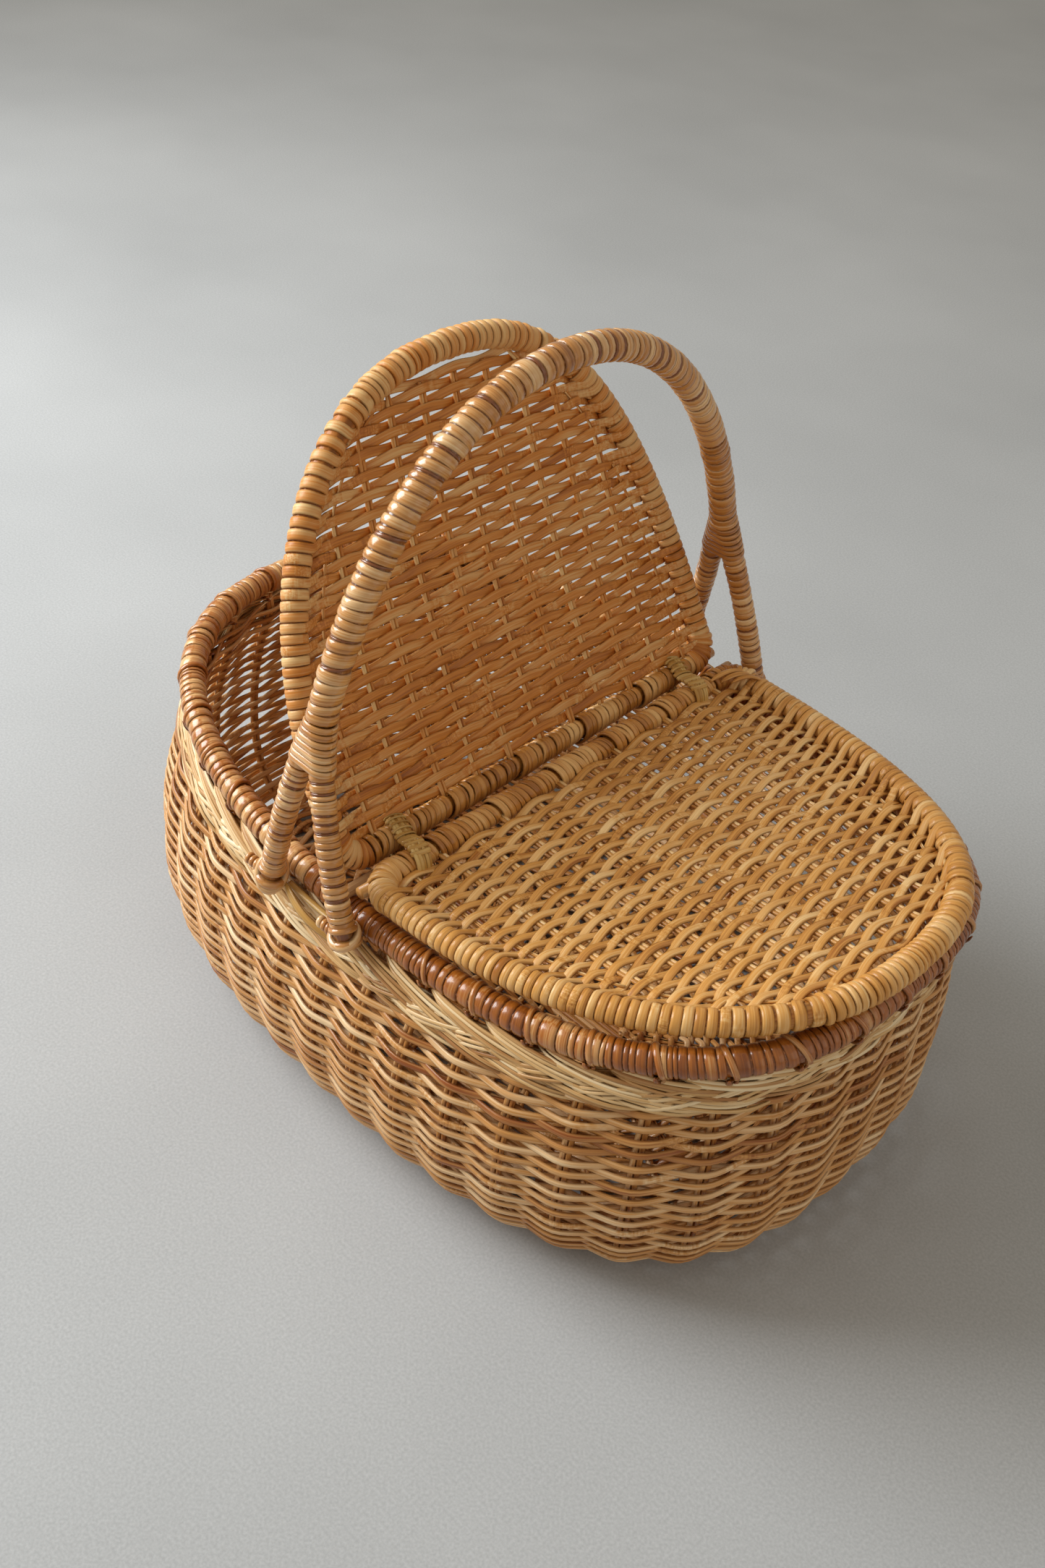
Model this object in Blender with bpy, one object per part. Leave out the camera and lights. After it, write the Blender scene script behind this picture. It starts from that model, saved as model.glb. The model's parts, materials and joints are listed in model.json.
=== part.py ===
"""An oval picnic basket of woven cane with two hinged flap lids and a fixed forked handle.

Metres, +Z up. X runs along the basket and Y across it, from handle foot to handle foot. The pieces are
laid out from the middle of the rim, and then moved together so that the origin is the middle of the
whole basket's length. The front lid (+X) is closed. The rear lid (-X) stands open.
"""

import math

import bmesh
import bpy
from mathutils import Matrix, Vector

# Space left between two pieces that touch
FIT_GAP = 0.0003

# Rim hoop: its centre line in plan, its height at the handle and its climb to the two ends
RIM_HALF_LENGTH = 0.210
RIM_HALF_WIDTH = 0.1345
RIM_SQUARENESS = 2.8
RIM_HEIGHT = 0.145
RIM_RISE = 0.027
HOOP_RADIUS = 0.0070

# Cane lashings round the hoop, one at every second stake
STAKES = 40
LASHING_THICKNESS = 0.0015
LASHING_WIDTH = 0.0070

# Rolled border outside the wall, just under the hoop, tucked in more at the two ends
BORDER_RADIUS = 0.0055
BORDER_SIDE_REACH = 0.0120
BORDER_END_REACH = 0.0065
BORDER_SIDE_DROP = 0.0110
BORDER_END_DROP = 0.0132

# Woven wall: how far its outer face stands outside the hoop's centre line
WALL_THICKNESS = 0.0060
WALL_TOP_SIDE_REACH = 0.0045
WALL_TOP_END_REACH = -0.0035
BELLY_HEIGHT = 0.065
SIDE_BELLY = 0.024
FRONT_BELLY = 0.006
REAR_BELLY = 0.018
BASE_TUCK = 0.050
BELLY_ROUNDNESS = 2.35
FLUTE_DEPTH = 0.0027
UPPER_RINGS = 4
LOWER_RINGS = 7

# Hinges: the two lid bars lie side by side over the centre bar
HINGE_X = -0.003
BAR_HALF_SPACING = 0.0092
BAR_RADIUS = 0.0064
CENTRE_BAR_RADIUS = 0.0030
STRAP_THICKNESS = 0.0015
STRAP_WIDTH = 0.0100
STRAP_ARM = 0.018
STRAP_SHOULDER = 0.008
BINDING_WALL = 0.0019
BINDING_WIDTH = 0.0105
BINDING_INSET = 0.030

# Lids: half a superellipse, closed by its hinge bar
LID_TIP_INSET = 0.0050
LID_SIDE_INSET = 0.0045
LID_SQUARENESS = 2.35
LID_ROD_RADIUS = 0.0070
PANEL_THICKNESS = 0.0060
PANEL_CLEARANCE = 0.0009
REAR_LID_OPEN = math.radians(58)

# Handle: arch, forks and legs
HANDLE_SETBACK = 0.018
HANDLE_RISE = 0.231
HANDLE_SQUARENESS = 2.12
ARCH_RADIUS = 0.0074
LEG_RADIUS = 0.0060
FRONT_FOOT_SPREAD = 0.0340
REAR_FOOT_SPREAD = 0.0225
CROTCH_SPREAD = 0.0066
CROTCH_RISE = 0.078
FORK_LENGTH = 0.022
FORK_WALL = 0.0004
FOOT_BINDING_WALL = 0.0013
FOOT_BINDING_HEIGHT = 0.0090
PEG_RADIUS = 0.0032
PEG_LENGTH = 0.0090
LOOP_RADIUS = 0.0015
LOOP_ANGLE = math.radians(108)

# How finely round shapes are cut
FINE_STEPS = 720
OUTLINE_STEPS = 2 * STAKES
FLUTE_STEPS = 4
LID_STEPS = 40
ARCH_STEPS = 34
LEG_STEPS = 6
HOLE_SIDES = 16
HULL_SIDES = 28
FORK_SIDES = 16
FORK_SECTIONS = 4

# Sizes that follow from those above
LID_LENGTH = RIM_HALF_LENGTH - LID_TIP_INSET
LID_HALF_WIDTH = RIM_HALF_WIDTH - LID_SIDE_INSET
BINDING_Y = LID_HALF_WIDTH - BINDING_INSET
PANEL_SETBACK = BAR_RADIUS + FIT_GAP + BINDING_WALL + PANEL_CLEARANCE
LASHING_RADIUS = HOOP_RADIUS + FIT_GAP + LASHING_THICKNESS
STRAP_RADIUS = BAR_RADIUS + FIT_GAP + STRAP_THICKNESS
CENTRE_BAR_HEIGHT = RIM_HEIGHT + HOOP_RADIUS + FIT_GAP + CENTRE_BAR_RADIUS
CENTRE_BAR_DROP = math.sqrt(
    (STRAP_RADIUS + FIT_GAP + CENTRE_BAR_RADIUS) ** 2 - BAR_HALF_SPACING**2
)
HINGE_HEIGHT = CENTRE_BAR_HEIGHT + CENTRE_BAR_DROP
FOOT_BINDING_RADIUS = LEG_RADIUS + FIT_GAP + FOOT_BINDING_WALL
FOOT_Y = RIM_HALF_WIDTH + HOOP_RADIUS + FIT_GAP + FOOT_BINDING_RADIUS
BORDER_TOP = RIM_HEIGHT - BORDER_SIDE_DROP + BORDER_RADIUS
FOOT_HEIGHT = BORDER_TOP + FIT_GAP
HANDLE_X = HINGE_X - HANDLE_SETBACK
HANDLE_TOP = RIM_HEIGHT + HANDLE_RISE
CROTCH_HEIGHT = RIM_HEIGHT + CROTCH_RISE
FORK_RADIUS = ARCH_RADIUS + FORK_WALL
MIDDLE_SHIFT = (REAR_BELLY - BORDER_END_REACH - BORDER_RADIUS) / 2
LASHING_FRONT = HINGE_X + BAR_HALF_SPACING + STRAP_ARM + LASHING_WIDTH
LASHING_REAR = HANDLE_X - REAR_FOOT_SPREAD - FOOT_BINDING_RADIUS - PEG_LENGTH - LASHING_WIDTH


def superellipse(half_x, half_y, power, turn):
    """A point of the outline |x/half_x|^power + |y/half_y|^power = 1, and its outward normal."""
    across, along = math.cos(turn), math.sin(turn)
    x = half_x * math.copysign(abs(across) ** (2 / power), across)
    y = half_y * math.copysign(abs(along) ** (2 / power), along)
    normal = Vector(
        (
            math.copysign(abs(x / half_x) ** (power - 1), x) / half_x,
            math.copysign(abs(y / half_y) ** (power - 1), y) / half_y,
        )
    )
    return Vector((x, y)), normal.normalized()


def equal_steps(points, steps):
    """(index, share) of the marks that cut the polyline into equal steps, its two ends included."""
    lengths = [0.0]
    for last, point in zip(points, points[1:]):
        lengths.append(lengths[-1] + (point - last).length)
    marks = []
    index = 0
    for step in range(steps + 1):
        target = lengths[-1] * step / steps
        while index < len(points) - 2 and lengths[index + 1] < target:
            index += 1
        share = (target - lengths[index]) / (lengths[index + 1] - lengths[index])
        marks.append((index, min(share, 1.0)))
    return marks


def evenly(points, steps):
    """Points at equal distances along the polyline."""
    return [points[i].lerp(points[i + 1], share) for i, share in equal_steps(points, steps)]


def even_turns(half_x, half_y, power, first, last, steps):
    """The superellipse's turns at which equal steps along it begin, from first to last."""
    turns = [first + (last - first) * i / FINE_STEPS for i in range(FINE_STEPS + 1)]
    points = [superellipse(half_x, half_y, power, turn)[0] for turn in turns]
    return [
        turns[i] + (turns[i + 1] - turns[i]) * share for i, share in equal_steps(points, steps)
    ]


def rim_climb(x):
    """How far the rim has climbed at x above its lowest place, between the handle's feet."""
    return RIM_RISE * (x / RIM_HALF_LENGTH) ** 2


def rim_height(x):
    """Height of the hoop's centre line at x."""
    return RIM_HEIGHT + rim_climb(x)


def between(side_value, end_value, normal):
    """A value that goes from the long sides' to the ends' as the outline's normal turns."""
    return side_value + (end_value - side_value) * abs(normal.x)


def rim_point(turn):
    """A point of the hoop's centre line."""
    point, _ = superellipse(RIM_HALF_LENGTH, RIM_HALF_WIDTH, RIM_SQUARENESS, turn)
    return Vector((point.x, point.y, rim_height(point.x)))


def border_point(turn, out=0.0, lift=0.0):
    """A point beside the border's centre line: outwards in plan by out, and lift above it."""
    point, normal = superellipse(RIM_HALF_LENGTH, RIM_HALF_WIDTH, RIM_SQUARENESS, turn)
    place = point + normal * (between(BORDER_SIDE_REACH, BORDER_END_REACH, normal) + out)
    drop = between(BORDER_SIDE_DROP, BORDER_END_DROP, normal)
    return Vector((place.x, place.y, rim_height(point.x) - drop + lift))


def rim_turn_at(x, side):
    """The rim's turn at x, on the near (-1) or far (1) side."""
    share = math.copysign(abs(x / RIM_HALF_LENGTH) ** (RIM_SQUARENESS / 2), x)
    return side * math.acos(share)


RIM_TURNS = even_turns(
    RIM_HALF_LENGTH, RIM_HALF_WIDTH, RIM_SQUARENESS, 0, 2 * math.pi, OUTLINE_STEPS
)[:-1]
WALL_TURNS = even_turns(
    RIM_HALF_LENGTH, RIM_HALF_WIDTH, RIM_SQUARENESS, 0, 2 * math.pi, FLUTE_STEPS * STAKES
)[:-1]


def new_collection(name):
    collection = bpy.data.collections.new(name)
    bpy.context.scene.collection.children.link(collection)
    return collection


def cane(name, colour, roughness):
    """Cane: a bare wood-like finish."""
    material = bpy.data.materials.new(name)
    material.use_nodes = True
    shader = material.node_tree.nodes["Principled BSDF"]
    shader.inputs["Base Color"].default_value = (*colour, 1)
    shader.inputs["Roughness"].default_value = roughness
    shader.inputs["Metallic"].default_value = 0
    material.diffuse_color = (*colour, 1)
    return material


def add_object(name, data, material, parent=None):
    """Puts the data in the basket's collection as one named object with its own material."""
    own = material.copy()
    own.name = name
    data.materials.append(own)
    thing = bpy.data.objects.new(name, data)
    basket.objects.link(thing)
    thing.parent = parent
    return thing


def add_empty(name, location, rotation):
    empty = bpy.data.objects.new(name, None)
    empty.empty_display_size = LID_HALF_WIDTH
    empty.location = location
    empty.rotation_euler = rotation
    basket.objects.link(empty)
    return empty


def add_tube(name, points, radius, material, parent=None, closed=False, detail=3):
    """A round rod along the points."""
    curve = bpy.data.curves.new(name, "CURVE")
    curve.dimensions = "3D"
    curve.bevel_depth = radius
    curve.bevel_resolution = detail
    curve.use_fill_caps = not closed
    curve.twist_mode = "MINIMUM"
    spline = curve.splines.new("POLY")
    spline.points.add(len(points) - 1)
    for target, point in zip(spline.points, points):
        target.co = (*point, 1)
    spline.use_cyclic_u = closed
    spline.use_smooth = True
    return add_object(name, curve, material, parent)


def circle(centre, radius, sides):
    return [
        centre
        + Vector((math.cos(turn), math.sin(turn))) * radius
        for turn in (2 * math.pi * side / sides for side in range(sides))
    ]


def add_plate(name, outlines, thickness, material, parent=None):
    """A flat plate in its own XY plane, centred on it. Outlines after the first one are holes."""
    curve = bpy.data.curves.new(name, "CURVE")
    curve.dimensions = "2D"
    curve.fill_mode = "BOTH"
    curve.extrude = thickness / 2
    for outline in outlines:
        spline = curve.splines.new("POLY")
        spline.points.add(len(outline) - 1)
        for target, point in zip(spline.points, outline):
            target.co = (point.x, point.y, 0, 1)
        spline.use_cyclic_u = True
    return add_object(name, curve, material, parent)


def add_loft(name, rings, material, parent=None, round_again=False):
    """A closed skin over rings of equally many points. Its two ends are capped, or joined if round_again."""
    work = bmesh.new()
    made = [[work.verts.new(point) for point in ring] for ring in rings]
    pairs = list(zip(made, made[1:]))
    if round_again:
        pairs.append((made[-1], made[0]))
    else:
        work.faces.new(made[0])
        work.faces.new(made[-1])
    for lower, upper in pairs:
        for side in range(len(lower)):
            after = (side + 1) % len(lower)
            work.faces.new((lower[side], lower[after], upper[after], upper[side]))
    bmesh.ops.recalc_face_normals(work, faces=work.faces)
    mesh = bpy.data.meshes.new(name)
    work.to_mesh(mesh)
    work.free()
    mesh.shade_smooth()
    mesh.set_sharp_from_angle(angle=math.radians(40))
    return add_object(name, mesh, material, parent)


def belly(normal):
    """How far the wall's widest line stands outside the hoop's: most on the long sides."""
    return between(SIDE_BELLY, FRONT_BELLY if normal.x > 0 else REAR_BELLY, normal)


def wall_profile(top, top_reach, widest):
    """(reach, height) down the wall's outer face, from its top edge to the level underside."""
    profile = []
    for ring in range(UPPER_RINGS):
        rise = 1 - ring / UPPER_RINGS
        reach = widest - (widest - top_reach) * rise**2
        profile.append(Vector((reach, BELLY_HEIGHT + (top - BELLY_HEIGHT) * rise)))
    for ring in range(LOWER_RINGS + 1):
        turn = math.pi / 2 * ring / LOWER_RINGS
        share = 2 / BELLY_ROUNDNESS
        tuck = 1 - abs(math.cos(turn)) ** share
        depth = math.sin(turn) ** share
        profile.append(Vector((widest - BASE_TUCK * tuck, BELLY_HEIGHT * (1 - depth))))
    return profile


def inward(profile, thickness):
    """The profile moved square to itself by the thickness, level at the base."""
    moved = []
    for index, mark in enumerate(profile):
        before = profile[max(index - 1, 0)]
        after = profile[min(index + 1, len(profile) - 1)]
        run = (after - before).normalized()
        if index == len(profile) - 1:
            run = Vector((-1, 0))
        moved.append(mark + Vector((run.y, -run.x)) * thickness)
    return moved


def fluted(profile, step):
    """The profile with a hollow between the stakes: full at a crest, and level at the base."""
    crest = FLUTE_STEPS - 1
    hollow = 1 - abs(math.cos(math.pi * (step - crest) / FLUTE_STEPS))
    return inward(profile, FLUTE_DEPTH * hollow)[:-1] + profile[-1:]


def make_body():
    lash = LASHING_RADIUS + FIT_GAP
    columns = []
    for step, turn in enumerate(WALL_TURNS):
        point, normal = superellipse(RIM_HALF_LENGTH, RIM_HALF_WIDTH, RIM_SQUARENESS, turn)
        top_reach = between(WALL_TOP_SIDE_REACH, WALL_TOP_END_REACH, normal)
        outer = wall_profile(rim_height(point.x) - lash, top_reach, belly(normal))
        section = fluted(outer, step) + inward(outer, WALL_THICKNESS)[::-1]
        columns.append(
            [Vector((*(point + normal * mark.x), mark.y)) for mark in section]
        )
    add_loft("side_wall", columns, HONEY, round_again=True)

    outline = []
    for turn in RIM_TURNS:
        point, normal = superellipse(RIM_HALF_LENGTH, RIM_HALF_WIDTH, RIM_SQUARENESS, turn)
        outline.append(point + normal * (belly(normal) - BASE_TUCK - FIT_GAP))
    base = add_plate("base", [outline], WALL_THICKNESS, HONEY)
    base.location.z = WALL_THICKNESS / 2

    hoop = [rim_point(turn) for turn in RIM_TURNS]
    add_tube("rim_hoop", hoop, HOOP_RADIUS, RED_CANE, closed=True)
    border = [border_point(turn) for turn in RIM_TURNS]
    add_tube("rim_border", border, BORDER_RADIUS, PALE, closed=True, detail=2)
    make_lashings(hoop)


def make_lashings(hoop):
    """A cane lashing at every second stake, clear of the handle's feet and the lids' corners."""
    ring = [
        circle(Vector((0, 0)), LASHING_RADIUS, HOLE_SIDES),
        circle(Vector((0, 0)), HOOP_RADIUS + FIT_GAP, HOLE_SIDES),
    ]
    count = 0
    stride = 2 * OUTLINE_STEPS // STAKES
    for step in range(stride - 1, OUTLINE_STEPS, stride):
        start, end = hoop[step], hoop[(step + 1) % OUTLINE_STEPS]
        middle = (start + end) / 2
        if LASHING_REAR < middle.x < LASHING_FRONT:
            continue
        count += 1
        lashing = add_plate(f"rim_lashing_{count:02d}", ring, LASHING_WIDTH, RED_CANE)
        lashing.location = middle
        lashing.rotation_euler = (end - start).to_track_quat("Z", "Y").to_euler()


def make_centre_bar():
    reach = RIM_HALF_WIDTH + HOOP_RADIUS
    ends = [Vector((HINGE_X, side * reach, CENTRE_BAR_HEIGHT)) for side in (-1, 1)]
    add_tube("centre_bar", ends, CENTRE_BAR_RADIUS, HONEY)


def make_hinge_bindings():
    """Cane bound round both lid bars and the centre bar. The lid bars turn in it."""
    bars = [
        (Vector((-BAR_HALF_SPACING, 0)), BAR_RADIUS + FIT_GAP),
        (Vector((BAR_HALF_SPACING, 0)), BAR_RADIUS + FIT_GAP),
        (Vector((0, -CENTRE_BAR_DROP)), CENTRE_BAR_RADIUS + FIT_GAP),
    ]
    outline = []
    for side in range(HULL_SIDES):
        turn = 2 * math.pi * side / HULL_SIDES
        way = Vector((math.cos(turn), math.sin(turn)))
        centre, radius = max(bars, key=lambda bar: bar[0].dot(way) + bar[1])
        outline.append(centre + way * (radius + BINDING_WALL))
    holes = [circle(centre, radius, HOLE_SIDES) for centre, radius in bars]
    for name, side in (("near", -1), ("far", 1)):
        binding = add_plate(f"hinge_binding_{name}", [outline, *holes], BINDING_WIDTH, PALE)
        binding.location = (HINGE_X, side * BINDING_Y, HINGE_HEIGHT)
        binding.rotation_euler = (math.pi / 2, 0, 0)


def lid_climb(tip_x):
    """How far the lid's tip stands above its hinge bar, so that it lies on the hoop's lashings."""
    rest = LASHING_RADIUS + FIT_GAP + LID_ROD_RADIUS
    return rim_height(tip_x) + rest - HINGE_HEIGHT


def make_lid(name, heading, opened):
    """One lid, built closed along +X of an empty on its hinge bar, then turned to its place."""
    facing = math.cos(heading)
    hinge = Vector((HINGE_X + facing * BAR_HALF_SPACING, 0, HINGE_HEIGHT))
    pivot = add_empty(f"{name}_hinge", hinge, (0, -opened, heading))
    climb = lid_climb(hinge.x + facing * LID_LENGTH)

    def raised(x):
        return climb * (x / LID_LENGTH) ** 2

    turns = even_turns(
        LID_LENGTH, LID_HALF_WIDTH, LID_SQUARENESS, -math.pi / 2, math.pi / 2, LID_STEPS
    )
    rim = []
    rows = []
    for turn in turns:
        point, normal = superellipse(LID_LENGTH, LID_HALF_WIDTH, LID_SQUARENESS, turn)
        rim.append(Vector((point.x, point.y, raised(point.x))))
        rows.append(point - normal * (LID_ROD_RADIUS + FIT_GAP))
    butt = BAR_RADIUS + FIT_GAP
    inside = [mark for mark in rim if mark.x > 2 * butt]
    rim = [Vector((butt, rim[0].y, 0)), *inside, Vector((butt, rim[-1].y, 0))]
    add_tube(f"{name}_rim", rim, LID_ROD_RADIUS, HONEY, pivot)

    reach = LID_HALF_WIDTH + LID_ROD_RADIUS
    ends = [Vector((0, side * reach, 0)) for side in (-1, 1)]
    add_tube(f"{name}_bar", ends, BAR_RADIUS, HONEY, pivot)

    half = PANEL_THICKNESS / 2
    sections = []
    edge = rows[LID_STEPS // 2 + 1 :]
    edge = [mark for mark in edge if mark.x > PANEL_SETBACK + FIT_GAP]
    edge.append(Vector((PANEL_SETBACK, LID_HALF_WIDTH - LID_ROD_RADIUS - FIT_GAP)))
    for mark in edge:
        z = raised(mark.x)
        corners = ((-1, -1), (1, -1), (1, 1), (-1, 1))
        sections.append([Vector((mark.x, side * mark.y, z + up * half)) for side, up in corners])
    add_loft(f"{name}_panel", sections, HONEY, pivot)
    make_straps(name, facing, pivot)


def make_straps(name, facing, pivot):
    """A cane strap at each corner, round the hinge bar and along both faces of the rim."""
    bar, rod = BAR_RADIUS + FIT_GAP, LID_ROD_RADIUS + FIT_GAP
    arc = [math.pi / 2 * (1 + 2 * side / HOLE_SIDES) for side in range(HOLE_SIDES + 1)]

    def path(extra):
        shoulder = [Vector((STRAP_ARM, rod + extra)), Vector((STRAP_SHOULDER, rod + extra))]
        bend = [Vector((math.cos(turn), math.sin(turn))) * (bar + extra) for turn in arc]
        return shoulder + bend + [Vector((mark.x, -mark.y)) for mark in reversed(shoulder)]

    outline = path(STRAP_THICKNESS) + path(0)[::-1]
    for side in (-1, 1):
        where = "near" if side * facing < 0 else "far"
        strap = add_plate(f"{name}_corner_{where}", [outline], STRAP_WIDTH, HONEY, pivot)
        strap.location = (0, side * LID_HALF_WIDTH, 0)
        strap.rotation_euler = (math.pi / 2, 0, 0)


def handle_curve():
    """The handle's centre line in the YZ plane, from the -Y foot over the top to the +Y foot."""
    rise = HANDLE_TOP - FOOT_HEIGHT
    curve = []
    for step in range(FINE_STEPS + 1):
        point, _ = superellipse(FOOT_Y, rise, HANDLE_SQUARENESS, math.pi * (1 - step / FINE_STEPS))
        curve.append(Vector((HANDLE_X, point.x, FOOT_HEIGHT + point.y)))
    return curve


def foot_spread(front):
    """How far a foot stands before (1) or behind (-1) the arch."""
    return FRONT_FOOT_SPREAD if front > 0 else REAR_FOOT_SPREAD


def leg_tilt(front):
    """A leg's lean from upright, along the basket."""
    return math.atan((foot_spread(front) - CROTCH_SPREAD) / (CROTCH_HEIGHT - FOOT_HEIGHT))


def leg_point(height, front, side):
    """Centre of a leg at a height. front and side are -1 or 1."""
    share = (height - FOOT_HEIGHT) / (HANDLE_TOP - FOOT_HEIGHT)
    y = FOOT_Y * (1 - max(share, 0.0) ** HANDLE_SQUARENESS) ** (1 / HANDLE_SQUARENESS)
    spread = foot_spread(front) - (height - FOOT_HEIGHT) * math.tan(leg_tilt(front))
    return Vector((HANDLE_X + front * spread, side * y, height))


def handle_lean(height, side):
    """The handle's lean from upright at a height, across the basket."""
    lower, upper = (leg_point(level, 1, side) for level in (height, height + FORK_WALL))
    return math.atan2(lower.y - upper.y, upper.z - lower.z)


def stadium(half_length, radius):
    """The outline of two circles side by side and what lies between them."""
    marks = []
    for side in range(FORK_SIDES):
        turn = 2 * math.pi * (side + 1 / 2) / FORK_SIDES
        way = Vector((math.cos(turn), math.sin(turn)))
        marks.append(way * radius + Vector((math.copysign(half_length, way.x), 0)))
    return marks


def make_handle():
    curve = handle_curve()
    fork_top = CROTCH_HEIGHT + FORK_LENGTH
    arch = evenly([mark for mark in curve if mark.z > fork_top + FIT_GAP], ARCH_STEPS)
    add_tube("handle_arch", arch, ARCH_RADIUS, STRAW)
    for name, side in (("near", -1), ("far", 1)):
        make_fork(name, side, fork_top)
        for place, front in (("front", 1), ("rear", -1)):
            make_leg(f"{name}_{place}", front, side)
        make_foot_loop(name, side)


def make_fork(name, side, fork_top):
    """The flared wrap from the single arch to where the two legs stand clear of each other."""
    rings = []
    for section in range(FORK_SECTIONS + 1):
        share = section / FORK_SECTIONS
        height = fork_top - (fork_top - CROTCH_HEIGHT) * share
        centre = leg_point(height, 1, side)
        centre.x = HANDLE_X
        turned = Matrix.Rotation(handle_lean(height, side), 3, "X")
        radius = FORK_RADIUS + (LEG_RADIUS + FORK_WALL - FORK_RADIUS) * share
        marks = stadium(CROTCH_SPREAD * share, radius)
        rings.append([centre + turned @ Vector((mark.x, mark.y, 0)) for mark in marks])
    add_loft(f"fork_binding_{name}", rings, STRAW)


def make_leg(name, front, side):
    tilt = leg_tilt(front)
    slant = LEG_RADIUS * math.sin(tilt)
    top = CROTCH_HEIGHT - (slant + FIT_GAP) / math.cos(handle_lean(CROTCH_HEIGHT, side))
    foot = FOOT_HEIGHT + rim_climb(HANDLE_X + front * foot_spread(front)) + slant
    heights = [foot + (top - foot) * step / LEG_STEPS for step in range(LEG_STEPS + 1)]
    leg = [leg_point(height, front, side) for height in heights]
    add_tube(f"handle_leg_{name}", leg, LEG_RADIUS, STRAW)

    ring = [
        circle(Vector((0, 0)), FOOT_BINDING_RADIUS, HOLE_SIDES),
        circle(Vector((0, 0)), LEG_RADIUS + FIT_GAP, HOLE_SIDES),
    ]
    along = (leg[1] - leg[0]).normalized()
    lift = FOOT_BINDING_HEIGHT / 2 + FOOT_BINDING_RADIUS * math.sin(tilt)
    binding = add_plate(f"foot_binding_{name}", ring, FOOT_BINDING_HEIGHT, STRAW)
    binding.location = leg[0] + along * lift
    binding.rotation_euler = along.to_track_quat("Z", "Y").to_euler()

    lean = FOOT_Y - RIM_HALF_WIDTH - BORDER_SIDE_REACH
    above = math.sqrt((BORDER_RADIUS + PEG_RADIUS + FIT_GAP) ** 2 - lean**2)
    clear = FOOT_BINDING_RADIUS / math.cos(tilt) + PEG_RADIUS * math.tan(tilt) + FIT_GAP
    near_end = leg_point(foot + above - BORDER_RADIUS, front, side).x - clear
    far_end = near_end - PEG_LENGTH
    height = rim_height(far_end) - BORDER_SIDE_DROP + above
    ends = [Vector((x, side * FOOT_Y, height)) for x in (far_end, near_end)]
    add_tube(f"foot_peg_{name}", ends, PEG_RADIUS, STRAW)


def make_foot_loop(name, side):
    """The cane tie that lies on the border from foot to foot."""
    away = BORDER_RADIUS + LOOP_RADIUS + FIT_GAP
    out, lift = away * math.cos(LOOP_ANGLE), away * math.sin(LOOP_ANGLE)
    ends = []
    for front in (-1, 1):
        spread = foot_spread(front) - FOOT_BINDING_RADIUS / math.cos(leg_tilt(front)) - FIT_GAP
        ends.append(HANDLE_X + front * spread)
    path = []
    for step in range(LEG_STEPS + 1):
        turn = rim_turn_at(ends[0] + (ends[1] - ends[0]) * step / LEG_STEPS, side)
        path.append(border_point(turn, out, lift))
    add_tube(f"foot_loop_{name}", path, LOOP_RADIUS, PALE, detail=2)


for thing in list(bpy.data.objects):
    bpy.data.objects.remove(thing)

basket = new_collection("picnic_basket")
HONEY = cane("honey_cane", (0.52, 0.27, 0.10), 0.45)
PALE = cane("pale_cane", (0.62, 0.40, 0.18), 0.50)
RED_CANE = cane("red_cane", (0.40, 0.16, 0.05), 0.35)
STRAW = cane("straw_cane", (0.60, 0.36, 0.15), 0.42)

make_body()
make_centre_bar()
make_hinge_bindings()
make_lid("front_lid", 0, 0)
make_lid("rear_lid", math.pi, REAR_LID_OPEN)
make_handle()
for thing in basket.objects:
    if thing.parent is None:
        thing.location.x += MIDDLE_SHIFT
for plain in (HONEY, PALE, RED_CANE, STRAW):
    bpy.data.materials.remove(plain)
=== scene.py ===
"""Looks of the picnic basket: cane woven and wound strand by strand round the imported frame.

Metres, +Z up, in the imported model's frame. X runs along the basket and Y across it. Strands follow
formulas and are gathered into one mesh for each part of the basket. A strand's tint goes from 0, dark,
to 1, pale.
"""

import json
import math

import bpy
import numpy as np
from mathutils import Matrix, Vector


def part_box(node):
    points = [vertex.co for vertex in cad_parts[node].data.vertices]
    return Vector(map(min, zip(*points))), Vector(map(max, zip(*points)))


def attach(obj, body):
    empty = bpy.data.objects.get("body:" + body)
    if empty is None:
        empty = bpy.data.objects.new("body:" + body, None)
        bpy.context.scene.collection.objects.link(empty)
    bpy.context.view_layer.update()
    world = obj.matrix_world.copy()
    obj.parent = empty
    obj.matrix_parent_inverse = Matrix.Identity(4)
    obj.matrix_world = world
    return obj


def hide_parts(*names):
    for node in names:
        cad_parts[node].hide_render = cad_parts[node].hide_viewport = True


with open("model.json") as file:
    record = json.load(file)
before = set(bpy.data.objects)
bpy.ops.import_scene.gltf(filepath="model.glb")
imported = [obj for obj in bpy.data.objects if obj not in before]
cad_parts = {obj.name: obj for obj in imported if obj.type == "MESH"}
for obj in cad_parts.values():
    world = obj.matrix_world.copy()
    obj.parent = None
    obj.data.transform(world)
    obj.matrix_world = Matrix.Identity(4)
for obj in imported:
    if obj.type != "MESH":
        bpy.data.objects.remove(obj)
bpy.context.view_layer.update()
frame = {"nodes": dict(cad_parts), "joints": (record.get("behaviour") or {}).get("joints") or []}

RNG = np.random.default_rng(11)
NODES = frame["nodes"]

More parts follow.
